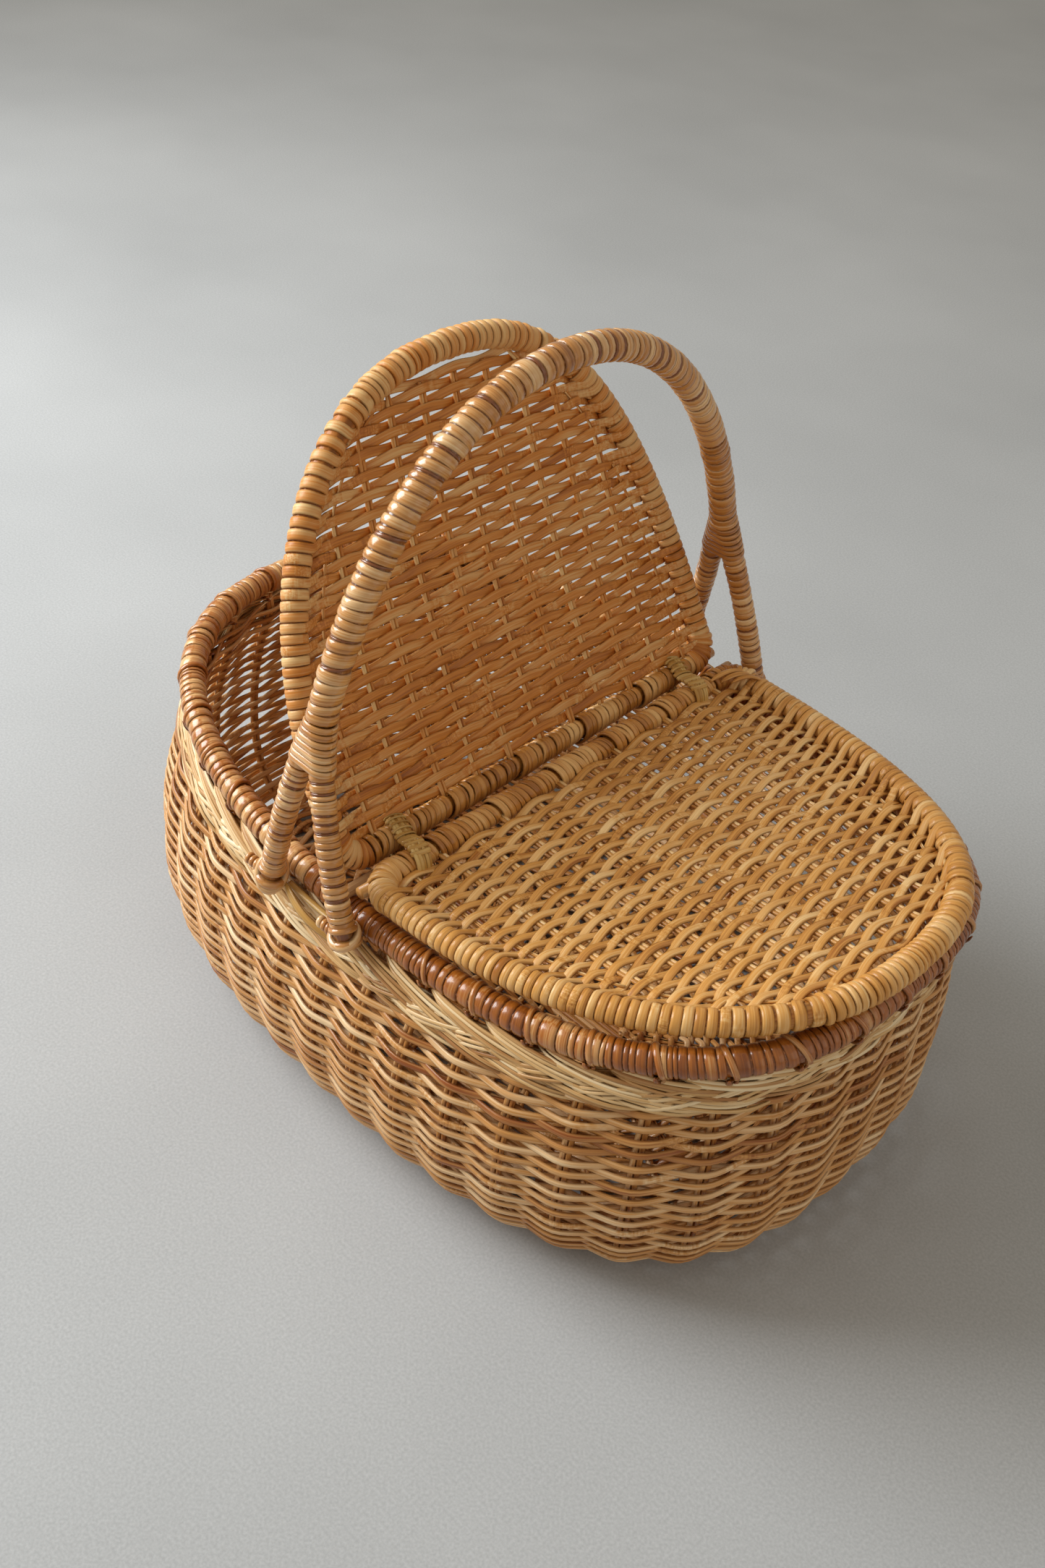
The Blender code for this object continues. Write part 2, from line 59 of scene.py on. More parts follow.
# Rim hoop, read from the frame: half length, half width, height at the handle and climb to the ends
HOOP_RADIUS = 0.007
RIM_SQUARENESS = 2.8
HOOP_LOW, HOOP_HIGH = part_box("rim_hoop")
RIM_X = (HOOP_LOW.x + HOOP_HIGH.x) / 2
RIM_HALF_LENGTH = (HOOP_HIGH.x - HOOP_LOW.x) / 2 - HOOP_RADIUS
RIM_HALF_WIDTH = (HOOP_HIGH.y - HOOP_LOW.y) / 2 - HOOP_RADIUS
RIM_HEIGHT = HOOP_LOW.z + HOOP_RADIUS
RIM_RISE = HOOP_HIGH.z - HOOP_RADIUS - RIM_HEIGHT

# Wall's outer face, measured from the hoop's centre line. Pairs are for the sides and the ends.
WALL_TOP_DROP = 0.0091
WALL_TOP_REACH = (0.0045, -0.0035)
BELLY_HEIGHT = 0.065
SIDE_BELLY = 0.024
FRONT_BELLY = 0.006
REAR_BELLY = 0.018
BASE_TUCK = 0.05
BELLY_ROUNDNESS = 2.35
BASE_SLOT_SHARES = (0.42, 0.08)
UPPER_STEPS = 24
LOWER_STEPS = 60
WALL_STEPS = 72
BASE_STEPS = 40

# Wall weave: each reed runs before one pair of stakes and behind the next
STAKES = 40
STAKE_PHASE = 0.75
STAKE_RADIUS = 0.0014
STAKE_CLOSENESS = 0.96
STAKE_STEPS = 26
STAKE_TOP_INSET = 0.0015
ROW_PITCH = 0.004
REED_WIDTH = 0.0037
REED_THICKNESS = 0.0018
WEAVE_DEPTH = 0.0029
WEAVE_FLATNESS = 0.08
WEAVE_SWAY = 0.0007
WEAVE_INSET = WEAVE_DEPTH + REED_THICKNESS / 2
WEAVE_PROUD = 0.001
PROUD_FADE = 5
STEPS_PER_STAKE = 8
STAKE_PLACES = np.arange(STAKES) + STAKE_PHASE
FINE_STAKES = np.arange(STAKES * STEPS_PER_STAKE) / STEPS_PER_STAKE
CORE_STICK = 0.0032
CORE_OVERLAP = 0.008

# Unevenness: how far reeds wander, waves that a wander is made of, and their rates
REED_WANDER = 0.0004
ROW_SHIFT = 0.0003
WAVES = 5
WAVE_RATES = (0.1, 1.2)
GRAIN_SHIFT = 5
TAPERED_SIZE = 0.45

# Border: from each stake one bundle of thin reeds sweeps down, and one climbs across the others
BORDER_REACH = (0.012, 0.0065)
BORDER_DROP = (0.011, 0.0132)
BORDER_REED = 0.0023
BORDER_REEDS = 4
SWEEP_RUN = 3.9
SWEEP_TOP = -0.0035
SWEEP_DROP = 0.0225
CLIMB_RUN = 2.3
CLIMB_START = 0.017
CLIMB_RISE = 0.0135

# How far the two stand out of the wall, in tenths of a millimetre, at shares of their way
SWEEP_MARKS = (0, 0.08, 0.3, 0.42, 0.5, 0.62, 0.74, 0.85, 1)
SWEEP_OUT = (-10, 34, 38, 30, 15, 15, 26, 22, -30)
CLIMB_MARKS = (0, 0.25, 0.38, 0.5, 0.66, 0.8, 1)
CLIMB_OUT = (-25, -8, 24, 30, 27, 3, -25)

# Lids: what they share, and then what differs
LID_SQUARENESS = 2.35
LID_ROD_RADIUS = 0.007
LID_LENGTH = 0.205
LID_HALF_WIDTH = 0.13
BAR_RADIUS = 0.0064
RIB_NUMBERS = np.arange(-6, 7)
RIB_CLEARANCE = 0.0165
RIB_LEAN = 0.014
RIB_WIDTH = 0.002
RIB_THICKNESS = 0.0021
OUTER_RIB_INSET = 0.014
LID_FIRST_ROW = 0.0098
ROW_END_GAP = 0.002
EDGE_ZONE = 0.005
RIM_CROSSING = 0.0024
LID_WRAP_SHARE = 0.96
LID_WIDEST_WRAP = 0.0058
WRAP_STEPS = 18
LID_WRAP_THICKNESS = 0.0017
CORNER_BEND = 0.0135
LOOSE_LOOPS = 3
BAR_CANE_THICKNESS = 0.0008
SLEEVE_STEP = 0.0018
SLEEVE_GAP = 0.0006
SHORTEST_SLEEVE = 0.004
LIDS = {
    "front_lid": dict(
        facing=1, open=0.0, climb=0.0262, rib_spacing=0.02, rib_offset=0.0087, rib_convergence=0.08,
        row_pitch=0.0039, reed_width=0.0044, reed_thickness=0.0014, weave_depth=0.0019,
        weave_sway=-0.0012, wrap_tint=0.0, first_sleeve=-0.092, sleeve_pitch=0.0407,
    ),
    "rear_lid": dict(
        facing=-1, open=math.radians(58), climb=0.0278, rib_spacing=0.0224, rib_offset=-0.0026,
        rib_convergence=0.12, row_pitch=0.0046, reed_width=0.005, reed_thickness=0.0009,
        weave_depth=0.0018, weave_sway=0.0014, wrap_tint=0.18, first_sleeve=-0.066, sleeve_pitch=0.046,
    ),
}

# Hinge bindings: strands round both bars, and half turns that lie across them on top
BINDING_WALL = 0.0019
BINDING_STRANDS = 5
BINDING_SPACING = 0.0017
BINDING_UNDERSIDE = [[0.004, -0.0113], [0, -0.0117], [-0.004, -0.0113]]
HALF_TURNS = 10
HALF_TURN_REACH = 0.0125

# Handle, read from the frame where it can be
ARCH_RADIUS = 0.0074
LEG_RADIUS = 0.006
HANDLE_SQUARENESS = 2.12
FOOT_HEIGHT = 0.1398
FOOT_Y = 0.1494
CROTCH_HEIGHT = 0.223
FORK_LENGTH = 0.022
FORK_TURNS = 7
CROTCH_SPREAD = 0.0066
FOOT_SPREADS = {"front": 0.034, "rear": 0.0225}
ARCH_LOW, ARCH_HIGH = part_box("handle_arch")
HANDLE_X = (ARCH_LOW.x + ARCH_HIGH.x) / 2
HANDLE_TOP = ARCH_HIGH.z - ARCH_RADIUS
CORE_SINK = 0.0008

# Lashings are left out between these places, by the handle's feet and the lids' corners
LASHING_FRONT = 0.0342
LASHING_REAR = -0.0727
LASHING_ROOM = 0.0016

# Wound cane: how unevenly turns are wide and lean, and the thin dark turns between them
TURN_WIDTHS = (0.55, 1.6)
TURN_STEPS = 16
LEAN_SPREAD = 0.35
LEAN_PHASE = 0.7
DARK_WIDTHS = (0.2, 0.42)
DARK_TINT = -0.35
DARK_SINK = 0.0004
TINT_RUN = 3.0
TINT_SPREAD = 0.1
HOOP_TURNS = [0.0034, 0.0043, 0.0055]
HOOP_WRAP = dict(thickness=0.0007, uneven=0.00015, spread=0.3, gap=0.00015, start=-1.6, bulge=0.2)
LID_WRAP = dict(
    thickness=LID_WRAP_THICKNESS, uneven=0.00015, spread=0.15, gap=0.0001, start=np.pi, bulge=0.4
)
CORNER_WRAP = dict(
    width=0.0032, thickness=0.0013, uneven=0.0002, spread=0.1, gap=-0.0007, slant=0.0008, start=np.pi,
    bulge=0.7,
)
ARCH_WRAP = dict(
    width=0.0052, thickness=0.0009, tone=(0.3, 0.5), uneven=0.0001, spread=0.16, gap=0.0, dark=0.22,
    slant=0.001, start=np.pi / 2,
)
LEG_WRAP = dict(
    width=0.0042, thickness=0.0009, tone=(0.25, 0.5), uneven=0.0001, spread=0.16, gap=0.0001,
    dark=0.35, slant=0.0008, bulge=0.45,
)
PEG_WRAP = dict(width=0.003, thickness=0.001, spread=0.05, bulge=0.6)

# A wound band's section: places across it, and how high a flat and a round one stand there
BAND_MARKS = np.array([-0.5, -0.46, -0.28, 0.0, 0.28, 0.46, 0.5])
FLAT_BAND = np.array([-0.6, 0.6, 1.0, 1.0, 1.0, 0.6, -0.6])
ROUND_BAND = np.sqrt(1 - (2 * BAND_MARKS) ** 2 * 0.98) * 1.3 - 0.3

# Cane's colour: how fast fibres and blotches change along, across and between strands
FIBRE_SCALES = (30, 1300, 40)
BLOTCH_SCALES = (24, 160, 90)

# Stage: the floor's noise is scale, detail, and the tones it goes between
FLOOR_COLOUR = (0.435, 0.44, 0.445)
FLOOR_REACH = 8.0
FLOOR_NOISE = ((2.6, 9, 0.9, 1.06), (700, 3, 0.9, 1.08))
WORLD_COLOUR = (1.0, 0.93, 0.8)
WORLD_STRENGTH = 0.46

# Square lamps that face the basket's middle: direction, distance, size, power and colour
LAMPS = {
    "window": ((-0.8, -0.45, 0.62), 1.7, 1.1, 41, (0.94, 0.98, 1.0)),
    "reflector": ((0.85, 0.05, 0.3), 1.6, 1.2, 2, (1.0, 0.95, 0.88)),
}

# Camera
EYE = (0.4079, -0.4825, 0.682)
TARGET = (-0.0413, 0.0247, 0.105)
ROLL = 0.0992
LENS = 37.04

SIDES = {"near": -1, "far": 1}
FINE = 7200
UP = np.array([0.0, 0.0, 1.0])
AHEAD = np.array([1.0, 0.0, 0.0])


def unit(vectors):
    return vectors / np.linalg.norm(vectors, axis=-1, keepdims=True)


def square_to(way, side):
    """The side direction, turned square to the way."""
    return unit(side - way * (side * way).sum(-1, keepdims=True))


def around(side, other, turn):
    """Directions at each turn from side towards other."""
    return side[..., None, :] * np.cos(turn)[:, None] + other[..., None, :] * np.sin(turn)[:, None]


def xyz(x, y, z):
    """Points or directions from their three parts, each an array or a number."""
    return np.stack(np.broadcast_arrays(x, y, z), -1)


def smooth(share):
    share = np.clip(share, 0, 1)
    return share * share * (3 - 2 * share)


def from_ends(count):
    """Steps to the nearer end, for each of as many points."""
    return np.minimum(np.arange(count), np.arange(count)[::-1])


def eased(values, times):
    """The values with their corners eased: each is moved towards its neighbours' mean."""
    for _ in range(times):
        values[1:-1] = values[1:-1] / 2 + (values[:-2] + values[2:]) / 4
    return values


def signed_power(value, power):
    return np.sign(value) * abs(value) ** power


def superellipse(half_x, half_y, power, turn):
    """Points of the outline |x/half_x|^power + |y/half_y|^power = 1, and its outward normals."""
    halves = np.array([half_x, half_y])
    points = halves * signed_power(np.stack([np.cos(turn), np.sin(turn)], -1), 2 / power)
    return points, unit(signed_power(points / halves, power - 1) / halves)


def travelled(points):
    """Distance along a polyline at each of its points."""
    return np.concatenate([[0], np.cumsum(np.linalg.norm(np.diff(points, axis=0), axis=-1))])


def resampled(points, count, endpoint=True):
    """As many points, evenly along the polyline."""
    length = travelled(points)
    where = np.linspace(0, length[-1], count, endpoint=endpoint)
    return np.stack([np.interp(where, length, axis) for axis in points.T], -1)


RIM_TURNS = np.linspace(0, 2 * np.pi, FINE + 1)
RIM_LENGTHS = travelled(superellipse(RIM_HALF_LENGTH, RIM_HALF_WIDTH, RIM_SQUARENESS, RIM_TURNS)[0])
STAKE_PITCH = RIM_LENGTHS[-1] / STAKES


def rim(stake):
    """Plan point and normal of the hoop's centre line at a stake number, and the rim's height there."""
    turn = np.interp(np.mod(stake, STAKES) * STAKE_PITCH, RIM_LENGTHS, RIM_TURNS)
    point, normal = superellipse(RIM_HALF_LENGTH, RIM_HALF_WIDTH, RIM_SQUARENESS, turn)
    height = RIM_HEIGHT + RIM_RISE * (point[..., 0] / RIM_HALF_LENGTH) ** 2
    return point + np.array([RIM_X, 0]), normal, height


def between(side_value, end_value, normal):
    """A value that goes from the long sides' to the ends' as the outline's normal turns."""
    return side_value + (end_value - side_value) * abs(normal[..., 0])


def beside_rim(stake, out, lift):
    """Points beside the hoop's centre line: outwards in plan by out, and lift above it."""
    point, normal, height = rim(stake)
    place = point + normal * np.asarray(out)[..., None]
    return np.concatenate([place, (height + lift)[..., None]], -1)


def round_rim_hoop(stake, reach, angle):
    """Points at a reach and an angle from the hoop's centre line, and the ways out to them."""
    path = beside_rim(stake, reach * np.cos(angle), reach * np.sin(angle))
    return path, path - beside_rim(stake, 0.0, 0.0)


class Sheet:
    """A surface read by stake number and by share of the way across it, from a grid of points."""

    def __init__(self, grid):
        self.grid = grid
        along = np.roll(grid, -1, 0) - np.roll(grid, 1, 0)
        across = np.gradient(grid, axis=1)
        self.across = unit(across)
        self.normal = unit(np.cross(across, along))

    def read(self, values, stake, share):
        rows, columns = values.shape[:2]
        a = np.mod(stake, STAKES) / STAKES * rows
        b = np.clip(share, 0, 1) * (columns - 1)
        i, j = np.floor(a).astype(int), np.minimum(np.floor(b).astype(int), columns - 2)
        s, t = (a - i)[..., None], (b - j)[..., None]
        first, second = i % rows, (i + 1) % rows
        near = values[first, j] * (1 - s) + values[second, j] * s
        far = values[first, j + 1] * (1 - s) + values[second, j + 1] * s
        return near * (1 - t) + far * t

    def at(self, stake, share, out=0.0, down=0.0):
        """Points out of the surface and down along it, and the surface's normals there."""
        stake, share = np.broadcast_arrays(stake, share)
        normal = unit(self.read(self.normal, stake, share))
        point = self.read(self.grid, stake, share)
        point = point + normal * np.asarray(out)[..., None]
        return point + self.read(self.across, stake, share) * np.asarray(down)[..., None], normal


def make_wall_sheet():
    point, normal, height = rim(FINE_STAKES)
    widest = between(SIDE_BELLY, np.where(normal[:, 0] > 0, FRONT_BELLY, REAR_BELLY), normal)
    top_reach = between(*WALL_TOP_REACH, normal)
    top = height - WALL_TOP_DROP
    rise = np.linspace(1, 0, UPPER_STEPS, endpoint=False)
    turn = np.linspace(0, np.pi / 2, LOWER_STEPS)
    power = 2 / BELLY_ROUNDNESS
    tuck = 1 - np.cos(turn).clip(0) ** power
    columns = []
    for place, way, wide, reach, high in zip(point, normal, widest, top_reach, top):
        upper_out = wide - (wide - reach) * rise**2
        upper = np.stack([upper_out, BELLY_HEIGHT + (high - BELLY_HEIGHT) * rise], -1)
        lower = np.stack([wide - BASE_TUCK * tuck, BELLY_HEIGHT * (1 - np.sin(turn) ** power)], -1)
        profile = resampled(np.concatenate([upper, lower]), WALL_STEPS)
        plan = place + way * profile[:, :1]
        columns.append(np.concatenate([plan, profile[:, 1:]], -1))
    return Sheet(np.array(columns))


def wobble(where, size):
    """A smooth random wander."""
    total = np.zeros_like(where, dtype=float)
    for _ in range(WAVES):
        total += np.sin(where * RNG.uniform(*WAVE_RATES) + RNG.uniform(0, 2 * np.pi))
    return total * size / math.sqrt(WAVES)


def tint_along(count, step):
    """Random tints that hold for a stretch of about step points each."""
    knots = RNG.beta(2.2, 2.2, count // step + 3)
    place = np.arange(count) / step + RNG.uniform(0, 1)
    index = np.floor(place).astype(int)
    share = smooth((place - index) * 6 - 2.5)
    return knots[index] * (1 - share) + knots[index + 1] * share


def placed(name, data):
    """A new object in the scene."""
    thing = bpy.data.objects.new(name, data)
    bpy.context.scene.collection.objects.link(thing)
    return thing


class Piece:
    """Strands gathered into one mesh, with what their material needs to know at each point."""

    def __init__(self, name):
        self.name = name
        self.points, self.grain, self.edge, self.quads, self.caps = [], [], [], [], []
        self.count = 0

    def add_rings(self, rings, path, across, tint, edge, closed):
        """Skins rings of points, (rings, sides, 3), that run anticlockwise round the way they go.
        Their grain is the distance along the path and across it, and the tint."""
        steps, sides = rings.shape[:2]
        index = self.count + np.arange(steps * sides).reshape(steps, sides)
        after = np.roll(index, -1, 1)
        ahead = np.roll(index, -1, 0)
        last = steps if closed else steps - 1
        corners = (index, after, np.roll(ahead, -1, 1), ahead)
        self.quads.append(np.stack([corner[:last] for corner in corners], -1).reshape(-1, 4))
        if not closed:
            self.caps += [index[0][::-1], index[-1]]
        self.points.append(rings.reshape(-1, 3))
        along = travelled(path)[:, None] + RNG.uniform(0, GRAIN_SHIFT)
        self.grain.append(xyz(along, across, tint).reshape(-1, 3))
        self.edge.append(np.broadcast_to(edge, (steps, sides)).reshape(-1))
        self.count += steps * sides

    def strand(self, path, normals, width, thickness, tint, closed=False, sides=8, bulge=2.3, taper=0):
        """A reed swept along the path, flat side to the normals. A bulge of 2 makes its section an
        ellipse, and more is squarer. Its ends taper over as many points as taper says."""
        if closed:
            way = unit(np.roll(path, -1, 0) - np.roll(path, 1, 0))
        else:
            way = unit(np.gradient(path, axis=0))
        normals = square_to(way, normals)
        across = np.cross(way, normals)
        turn = 2 * np.pi * (np.arange(sides) + 0.5) / sides
        high, wide = signed_power(np.array([np.cos(turn), np.sin(turn)]), 2 / bulge)
        size = np.ones(len(path))
        if taper:
            size = TAPERED_SIZE + (1 - TAPERED_SIZE) * smooth(from_ends(len(path)) / taper)
        half_width = (width * size / 2)[:, None]
        half_height = (thickness * size / 2)[:, None]
        rings = (
            path[:, None]
            + normals[:, None] * (high * half_height)[..., None]
            + across[:, None] * (wide * half_width)[..., None]
        )
        self.add_rings(rings, path, wide * half_width, np.reshape(tint, (-1, 1)), abs(wide), closed)

    def bands(self, loops, outward, axis, width, thickness, tint, bulge=0.3):
        """Cane turns: loops (turns, steps, 3) with outward normals, each as wide along its axis.
        A bulge of 0 is a flat band and 1 a round one."""
        rise = FLAT_BAND * (1 - bulge) + ROUND_BAND * bulge
        sizes = (np.broadcast_to(value, len(loops)) for value in (width, thickness, tint))
        for loop, out, way, wide, thick, tone in zip(loops, outward, axis, *sizes):
            across = BAND_MARKS * wide
            rings = loop[:, None] + out[:, None] * (rise * thick)[:, None] + way * across[:, None]
            self.add_rings(rings, loop, across, tone, abs(BAND_MARKS) * 2, True)

    def finish(self, slot, material, *nodes, body="basket"):
        """Makes the mesh, and lets it ride on its body in place of its nodes."""
        mesh = bpy.data.meshes.new(self.name)
        points = np.concatenate(self.points).astype(np.float32)
        mesh.vertices.add(len(points))
        mesh.vertices.foreach_set("co", points.ravel())
        faces = [np.concatenate(self.quads)]
        for sides in sorted({len(cap) for cap in self.caps}):
            faces.append(np.array([cap for cap in self.caps if len(cap) == sides]))
        corners = np.concatenate([group.ravel() for group in faces]).astype(np.int32)
        totals = np.concatenate([np.full(len(group), group.shape[1]) for group in faces])
        mesh.loops.add(len(corners))
        mesh.loops.foreach_set("vertex_index", corners)
        mesh.polygons.add(len(totals))
        starts = (np.cumsum(totals) - totals).astype(np.int32)
        mesh.polygons.foreach_set("loop_start", starts)
        mesh.update(calc_edges=True)
        mesh.validate()
        mesh.shade_smooth()
        # edge is how near each point is to its strand's edge; the materials darken the colour there,
        # partly as painted shade between strands
        for name, kind, key, values in (
            ("grain", "FLOAT_VECTOR", "vector", self.grain), ("edge", "FLOAT", "value", self.edge)
        ):
            data = mesh.attributes.new(name, kind, "POINT").data
            data.foreach_set(key, np.concatenate(values).astype(np.float32).ravel())
        mesh.materials.append(CANES[material])
        thing = placed(self.name, mesh)
        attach(thing, body)
        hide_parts(*nodes)


class Rod:
    """A core that cane is wound on: its centre line and a side direction at each point."""

    def __init__(self, path, side):
        self.path = path
        self.length = travelled(path)
        self.way = unit(np.gradient(path, axis=0))
        self.side = square_to(self.way, side)

    def read(self, values, where):
        return np.stack([np.interp(where, self.length, axis) for axis in values.T], -1)

    def core(self, piece, radius, tint=0.15):
        """The bare rod under the winding."""
        piece.strand(self.path, self.side, 2 * radius, 2 * radius, tint, sides=10, bulge=2)

    def wind(self, piece, where, width, radius, thickness, tint, slant=0.0005, start=0.0, bulge=0.3):
        """Bands of cane at places along the rod, which may run on past a closed rod's end."""
        where = np.mod(where, self.length[-1])
        reach = np.broadcast_to(radius - thickness, where.shape)
        way = unit(self.read(self.way, where))
        side = square_to(way, self.read(self.side, where))
        turn = start - 2 * np.pi * np.arange(TURN_STEPS) / TURN_STEPS
        outward = around(side, np.cross(way, side), turn)
        lean = slant * RNG.normal(1, LEAN_SPREAD, len(where))
        lean = lean[:, None] * np.cos(turn - LEAN_PHASE)
        loops = self.read(self.path, where)[:, None] + outward * reach[:, None, None]
        piece.bands(loops + way[:, None] * lean[..., None], outward, way, width, thickness, tint, bulge)

    def wrap(self, piece, first, last, radius, width, thickness, tone=(0.0, 1.0), uneven=0.0,
             spread=0.12, gap=0.0002, dark=0.0, **style):
        """Turns side by side that fill a stretch, with their outer faces about at the radius."""
        where, widths, tints = turns_along(first, last, width, spread, gap, dark)
        tints = np.where(tints < 0, tints, tone[0] + tone[1] * tints)
        if uneven:
            radius = radius + RNG.normal(0, uneven, len(where))
        self.wind(piece, where, widths, radius - DARK_SINK * (tints < 0), thickness, tints, **style)


def turns_along(first, last, width, spread, gap, dark=0.0):
    """Places, widths and tints of turns that fill a stretch. Some have a thin dark turn beside them."""
    count = max(1, round((last - first) / width))
    widths = RNG.normal(1, spread, count).clip(*TURN_WIDTHS)
    tints = band_tints(count)
    narrow = np.flatnonzero(RNG.random(count) < dark)
    widths = np.insert(widths, narrow, RNG.uniform(*DARK_WIDTHS, len(narrow)))
    tints = np.insert(tints, narrow, DARK_TINT)
    widths *= (last - first) / widths.sum()
    ends = first + np.cumsum(widths)
    return ends - widths / 2, widths - gap, tints


def band_tints(count):
    """Tints of neighbouring turns: alike for a few turns."""
    knots = RNG.beta(1.8, 1.8, int(count / TINT_RUN) + 3)
    tints = np.interp(np.arange(count) / TINT_RUN, np.arange(len(knots)), knots)
    return (tints + RNG.normal(0, TINT_SPREAD, count)).clip(0, 1)


class Looks:
    """A new material and its nodes. Sockets are given by name or number."""

    def __init__(self, name, values):
        self.material = bpy.data.materials.new(name)
        self.material.use_nodes = True
        self.tree = self.material.node_tree
        self.shader = self.tree.nodes["Principled BSDF"]
        self.put(self.shader, values)

    def put(self, node, values):
        """Writes a value in each socket, or links another node's output to it."""
        for socket, value in values.items():
            if isinstance(value, bpy.types.NodeSocket):
                self.tree.links.new(value, node.inputs[socket])
            else:
                node.inputs[socket].default_value = value

    def add(self, kind, values=None, **settings):
        node = self.tree.nodes.new(kind)
        for key, value in settings.items():
            setattr(node, key, value)
        self.put(node, values or {})
        return node.outputs

    def noise(self, place, scales, detail):
        place = self.add("ShaderNodeVectorMath", {0: place, 1: scales}, operation="MULTIPLY")[0]
        return self.add("ShaderNodeTexNoise", {"Vector": place, "Scale": 1, "Detail": detail})["Fac"]

    def math(self, operation, *values):
        return self.add("ShaderNodeMath", dict(enumerate(values)), operation=operation)[0]

    def mapped(self, value, start, stop, low, high):
        """The value's range from start to stop, mapped to low to high."""
        values = {"Value": value, "From Min": start, "From Max": stop, "To Min": low, "To Max": high}
        return self.add("ShaderNodeMapRange", values)["Result"]

    def ramp(self, value, *stops):
        """Colours by a value. Each stop is its place and colour."""
        node = self.tree.nodes.new("ShaderNodeValToRGB")
        elements = node.color_ramp.elements
        for place, _ in stops[1:-1]:
            elements.new(place)
        for element, (place, colour) in zip(elements, stops):
            element.position, element.color = place, (*colour, 1)
        self.put(node, {0: value})
        return node.outputs["Color"]

    def product(self, first, second):
        values = {"Factor": 1, "A": first, "B": second}
        return self.add("ShaderNodeMix", values, data_type="RGBA", blend_type="MULTIPLY")["Result"]

    def bump(self, height, strength):
        values = {"Strength": strength, "Distance": 0.0003, "Height": height}
        return self.add("ShaderNodeBump", values)["Normal"]


def cane(name, dark, middle, pale, roughness, coat, edge_skin_and_shade):
    """Cane with long fibres, blotches, a tint for each strand, and edges darkened partly as its own
    skin, partly as painted shade.
    """
    looks = Looks(name, {"Coat Weight": coat, "Coat Roughness": 0.16, "Specular IOR Level": 0.3})
    grain = looks.add("ShaderNodeAttribute", attribute_name="grain")["Vector"]
    edge = looks.add("ShaderNodeAttribute", attribute_name="edge")["Fac"]
    fibres = looks.noise(grain, FIBRE_SCALES, 3)
    blotches = looks.noise(grain, BLOTCH_SCALES, 2)
    tint = looks.add("ShaderNodeSeparateXYZ", {0: grain})["Z"]
    tone = -0.75
    for value, weight in ((tint, 0.8), (fibres, 0.9), (blotches, 0.8)):
        tone = looks.math("MULTIPLY_ADD", value, weight, tone)
    colour = looks.ramp(tone, (0.06, dark), (0.48, middle), (0.94, pale))
    looks.put(looks.shader, {
        # Strand edges darken: partly the cane's own darker skin, partly painted shade where neighbouring
        # strands meet
        "Base Color": looks.product(colour, looks.mapped(edge, 0.8, 1.0, 1.0, edge_skin_and_shade)),
        "Roughness": looks.math("MULTIPLY_ADD", blotches, 0.3, roughness - 0.15),
        "Normal": looks.bump(fibres, 0.4),
    })
    return looks.material


def bare_wood(dark, pale):
    """Plain rod: long grain along Y, which the bare rod follows."""
    looks = Looks("bare_wood", {"Roughness": 0.5})
    grain = looks.noise(looks.add("ShaderNodeTexCoord")["Object"], (900, 40, 900), 3)
    colour = looks.ramp(grain, (0.3, dark), (0.7, pale))
    looks.put(looks.shader, {"Base Color": colour, "Normal": looks.bump(grain, 0.3)})
    return looks.material


def add_weave(piece, sheet, proud=0.0, top=None):
    """Reeds round the wall or base, before every second stake and behind the others, and pairs of
    stakes at the middle of the weave's depth."""
    rows = round(travelled(sheet.grid[0])[-1] / ROW_PITCH)
    place = FINE_STAKES + STAKE_PHASE
    for row in range(rows):
        share = (row + 0.5) / rows
        turn = np.pi * (place - STAKE_PHASE + row)
        wave = (1 - WEAVE_FLATNESS) * np.cos(turn) + WEAVE_FLATNESS * np.cos(3 * turn)
        out = WEAVE_DEPTH * wave - (WEAVE_INSET - proud * smooth((1 - share) * PROUD_FADE))
        down = WEAVE_SWAY * np.cos(turn) + wobble(place, REED_WANDER) + RNG.normal(0, ROW_SHIFT)
        path, normals = sheet.at(place, share, out, down)
        tint = (0.15 + 0.7 * tint_along(len(place), 40) + RNG.normal(0, 0.07)).clip(0, 1)
        width = REED_WIDTH * (1 + wobble(place, 0.05))
        piece.strand(path, normals, width, REED_THICKNESS, tint, closed=True, bulge=2.6)
    for stake in STAKE_PLACES:
        for side in (-1, 1):
            place = stake + side * STAKE_RADIUS * STAKE_CLOSENESS / STAKE_PITCH
            path, normals = sheet.at(place, np.linspace(0, 1, STAKE_STEPS), proud / 2 - WEAVE_INSET)
            if top is not None:
                path[0] = beside_rim(place, -STAKE_TOP_INSET, top)
            # One stake of each pair is painted 0.25 paler than the other: painted light on the lit rod,
            # painted shade on the rod behind it
            tint = 0.35 * RNG.beta(2, 2) + 0.15 + 0.25 * (side < 0)
            piece.strand(path, normals, 2 * STAKE_RADIUS, 2 * STAKE_RADIUS, tint, sides=6, bulge=2)


def make_wall(wall):
    weave = Piece("wall_weave")
    add_weave(weave, wall, WEAVE_PROUD, -HOOP_RADIUS)
    weave.finish("woven_wall", "wall_cane", "side_wall")


def make_base(wall):
    """From the wall's lower edge in to a slot along the middle, which a bundle of sticks closes."""
    edge = wall.grid[:, -1]
    slot = edge * np.array([*BASE_SLOT_SHARES, 1])
    share = np.linspace(0, 1, BASE_STEPS)[None, :, None]
    weave = Piece("base_weave")
    add_weave(weave, Sheet(edge[:, None] * (1 - share) + slot[:, None] * share))
    reach, half_width, _ = abs(slot).max(axis=0)
    reach += CORE_OVERLAP
    sticks = math.ceil(2 * half_width / CORE_STICK) + 1
    for stick in range(sticks):
        y = (stick - (sticks - 1) / 2) * CORE_STICK
        path = xyz(np.linspace(-reach, reach, 12), y, WEAVE_INSET)
        weave.strand(path, UP, CORE_STICK, CORE_STICK, RNG.beta(2, 3), sides=6)
    weave.finish("woven_wall", "wall_cane", "base")


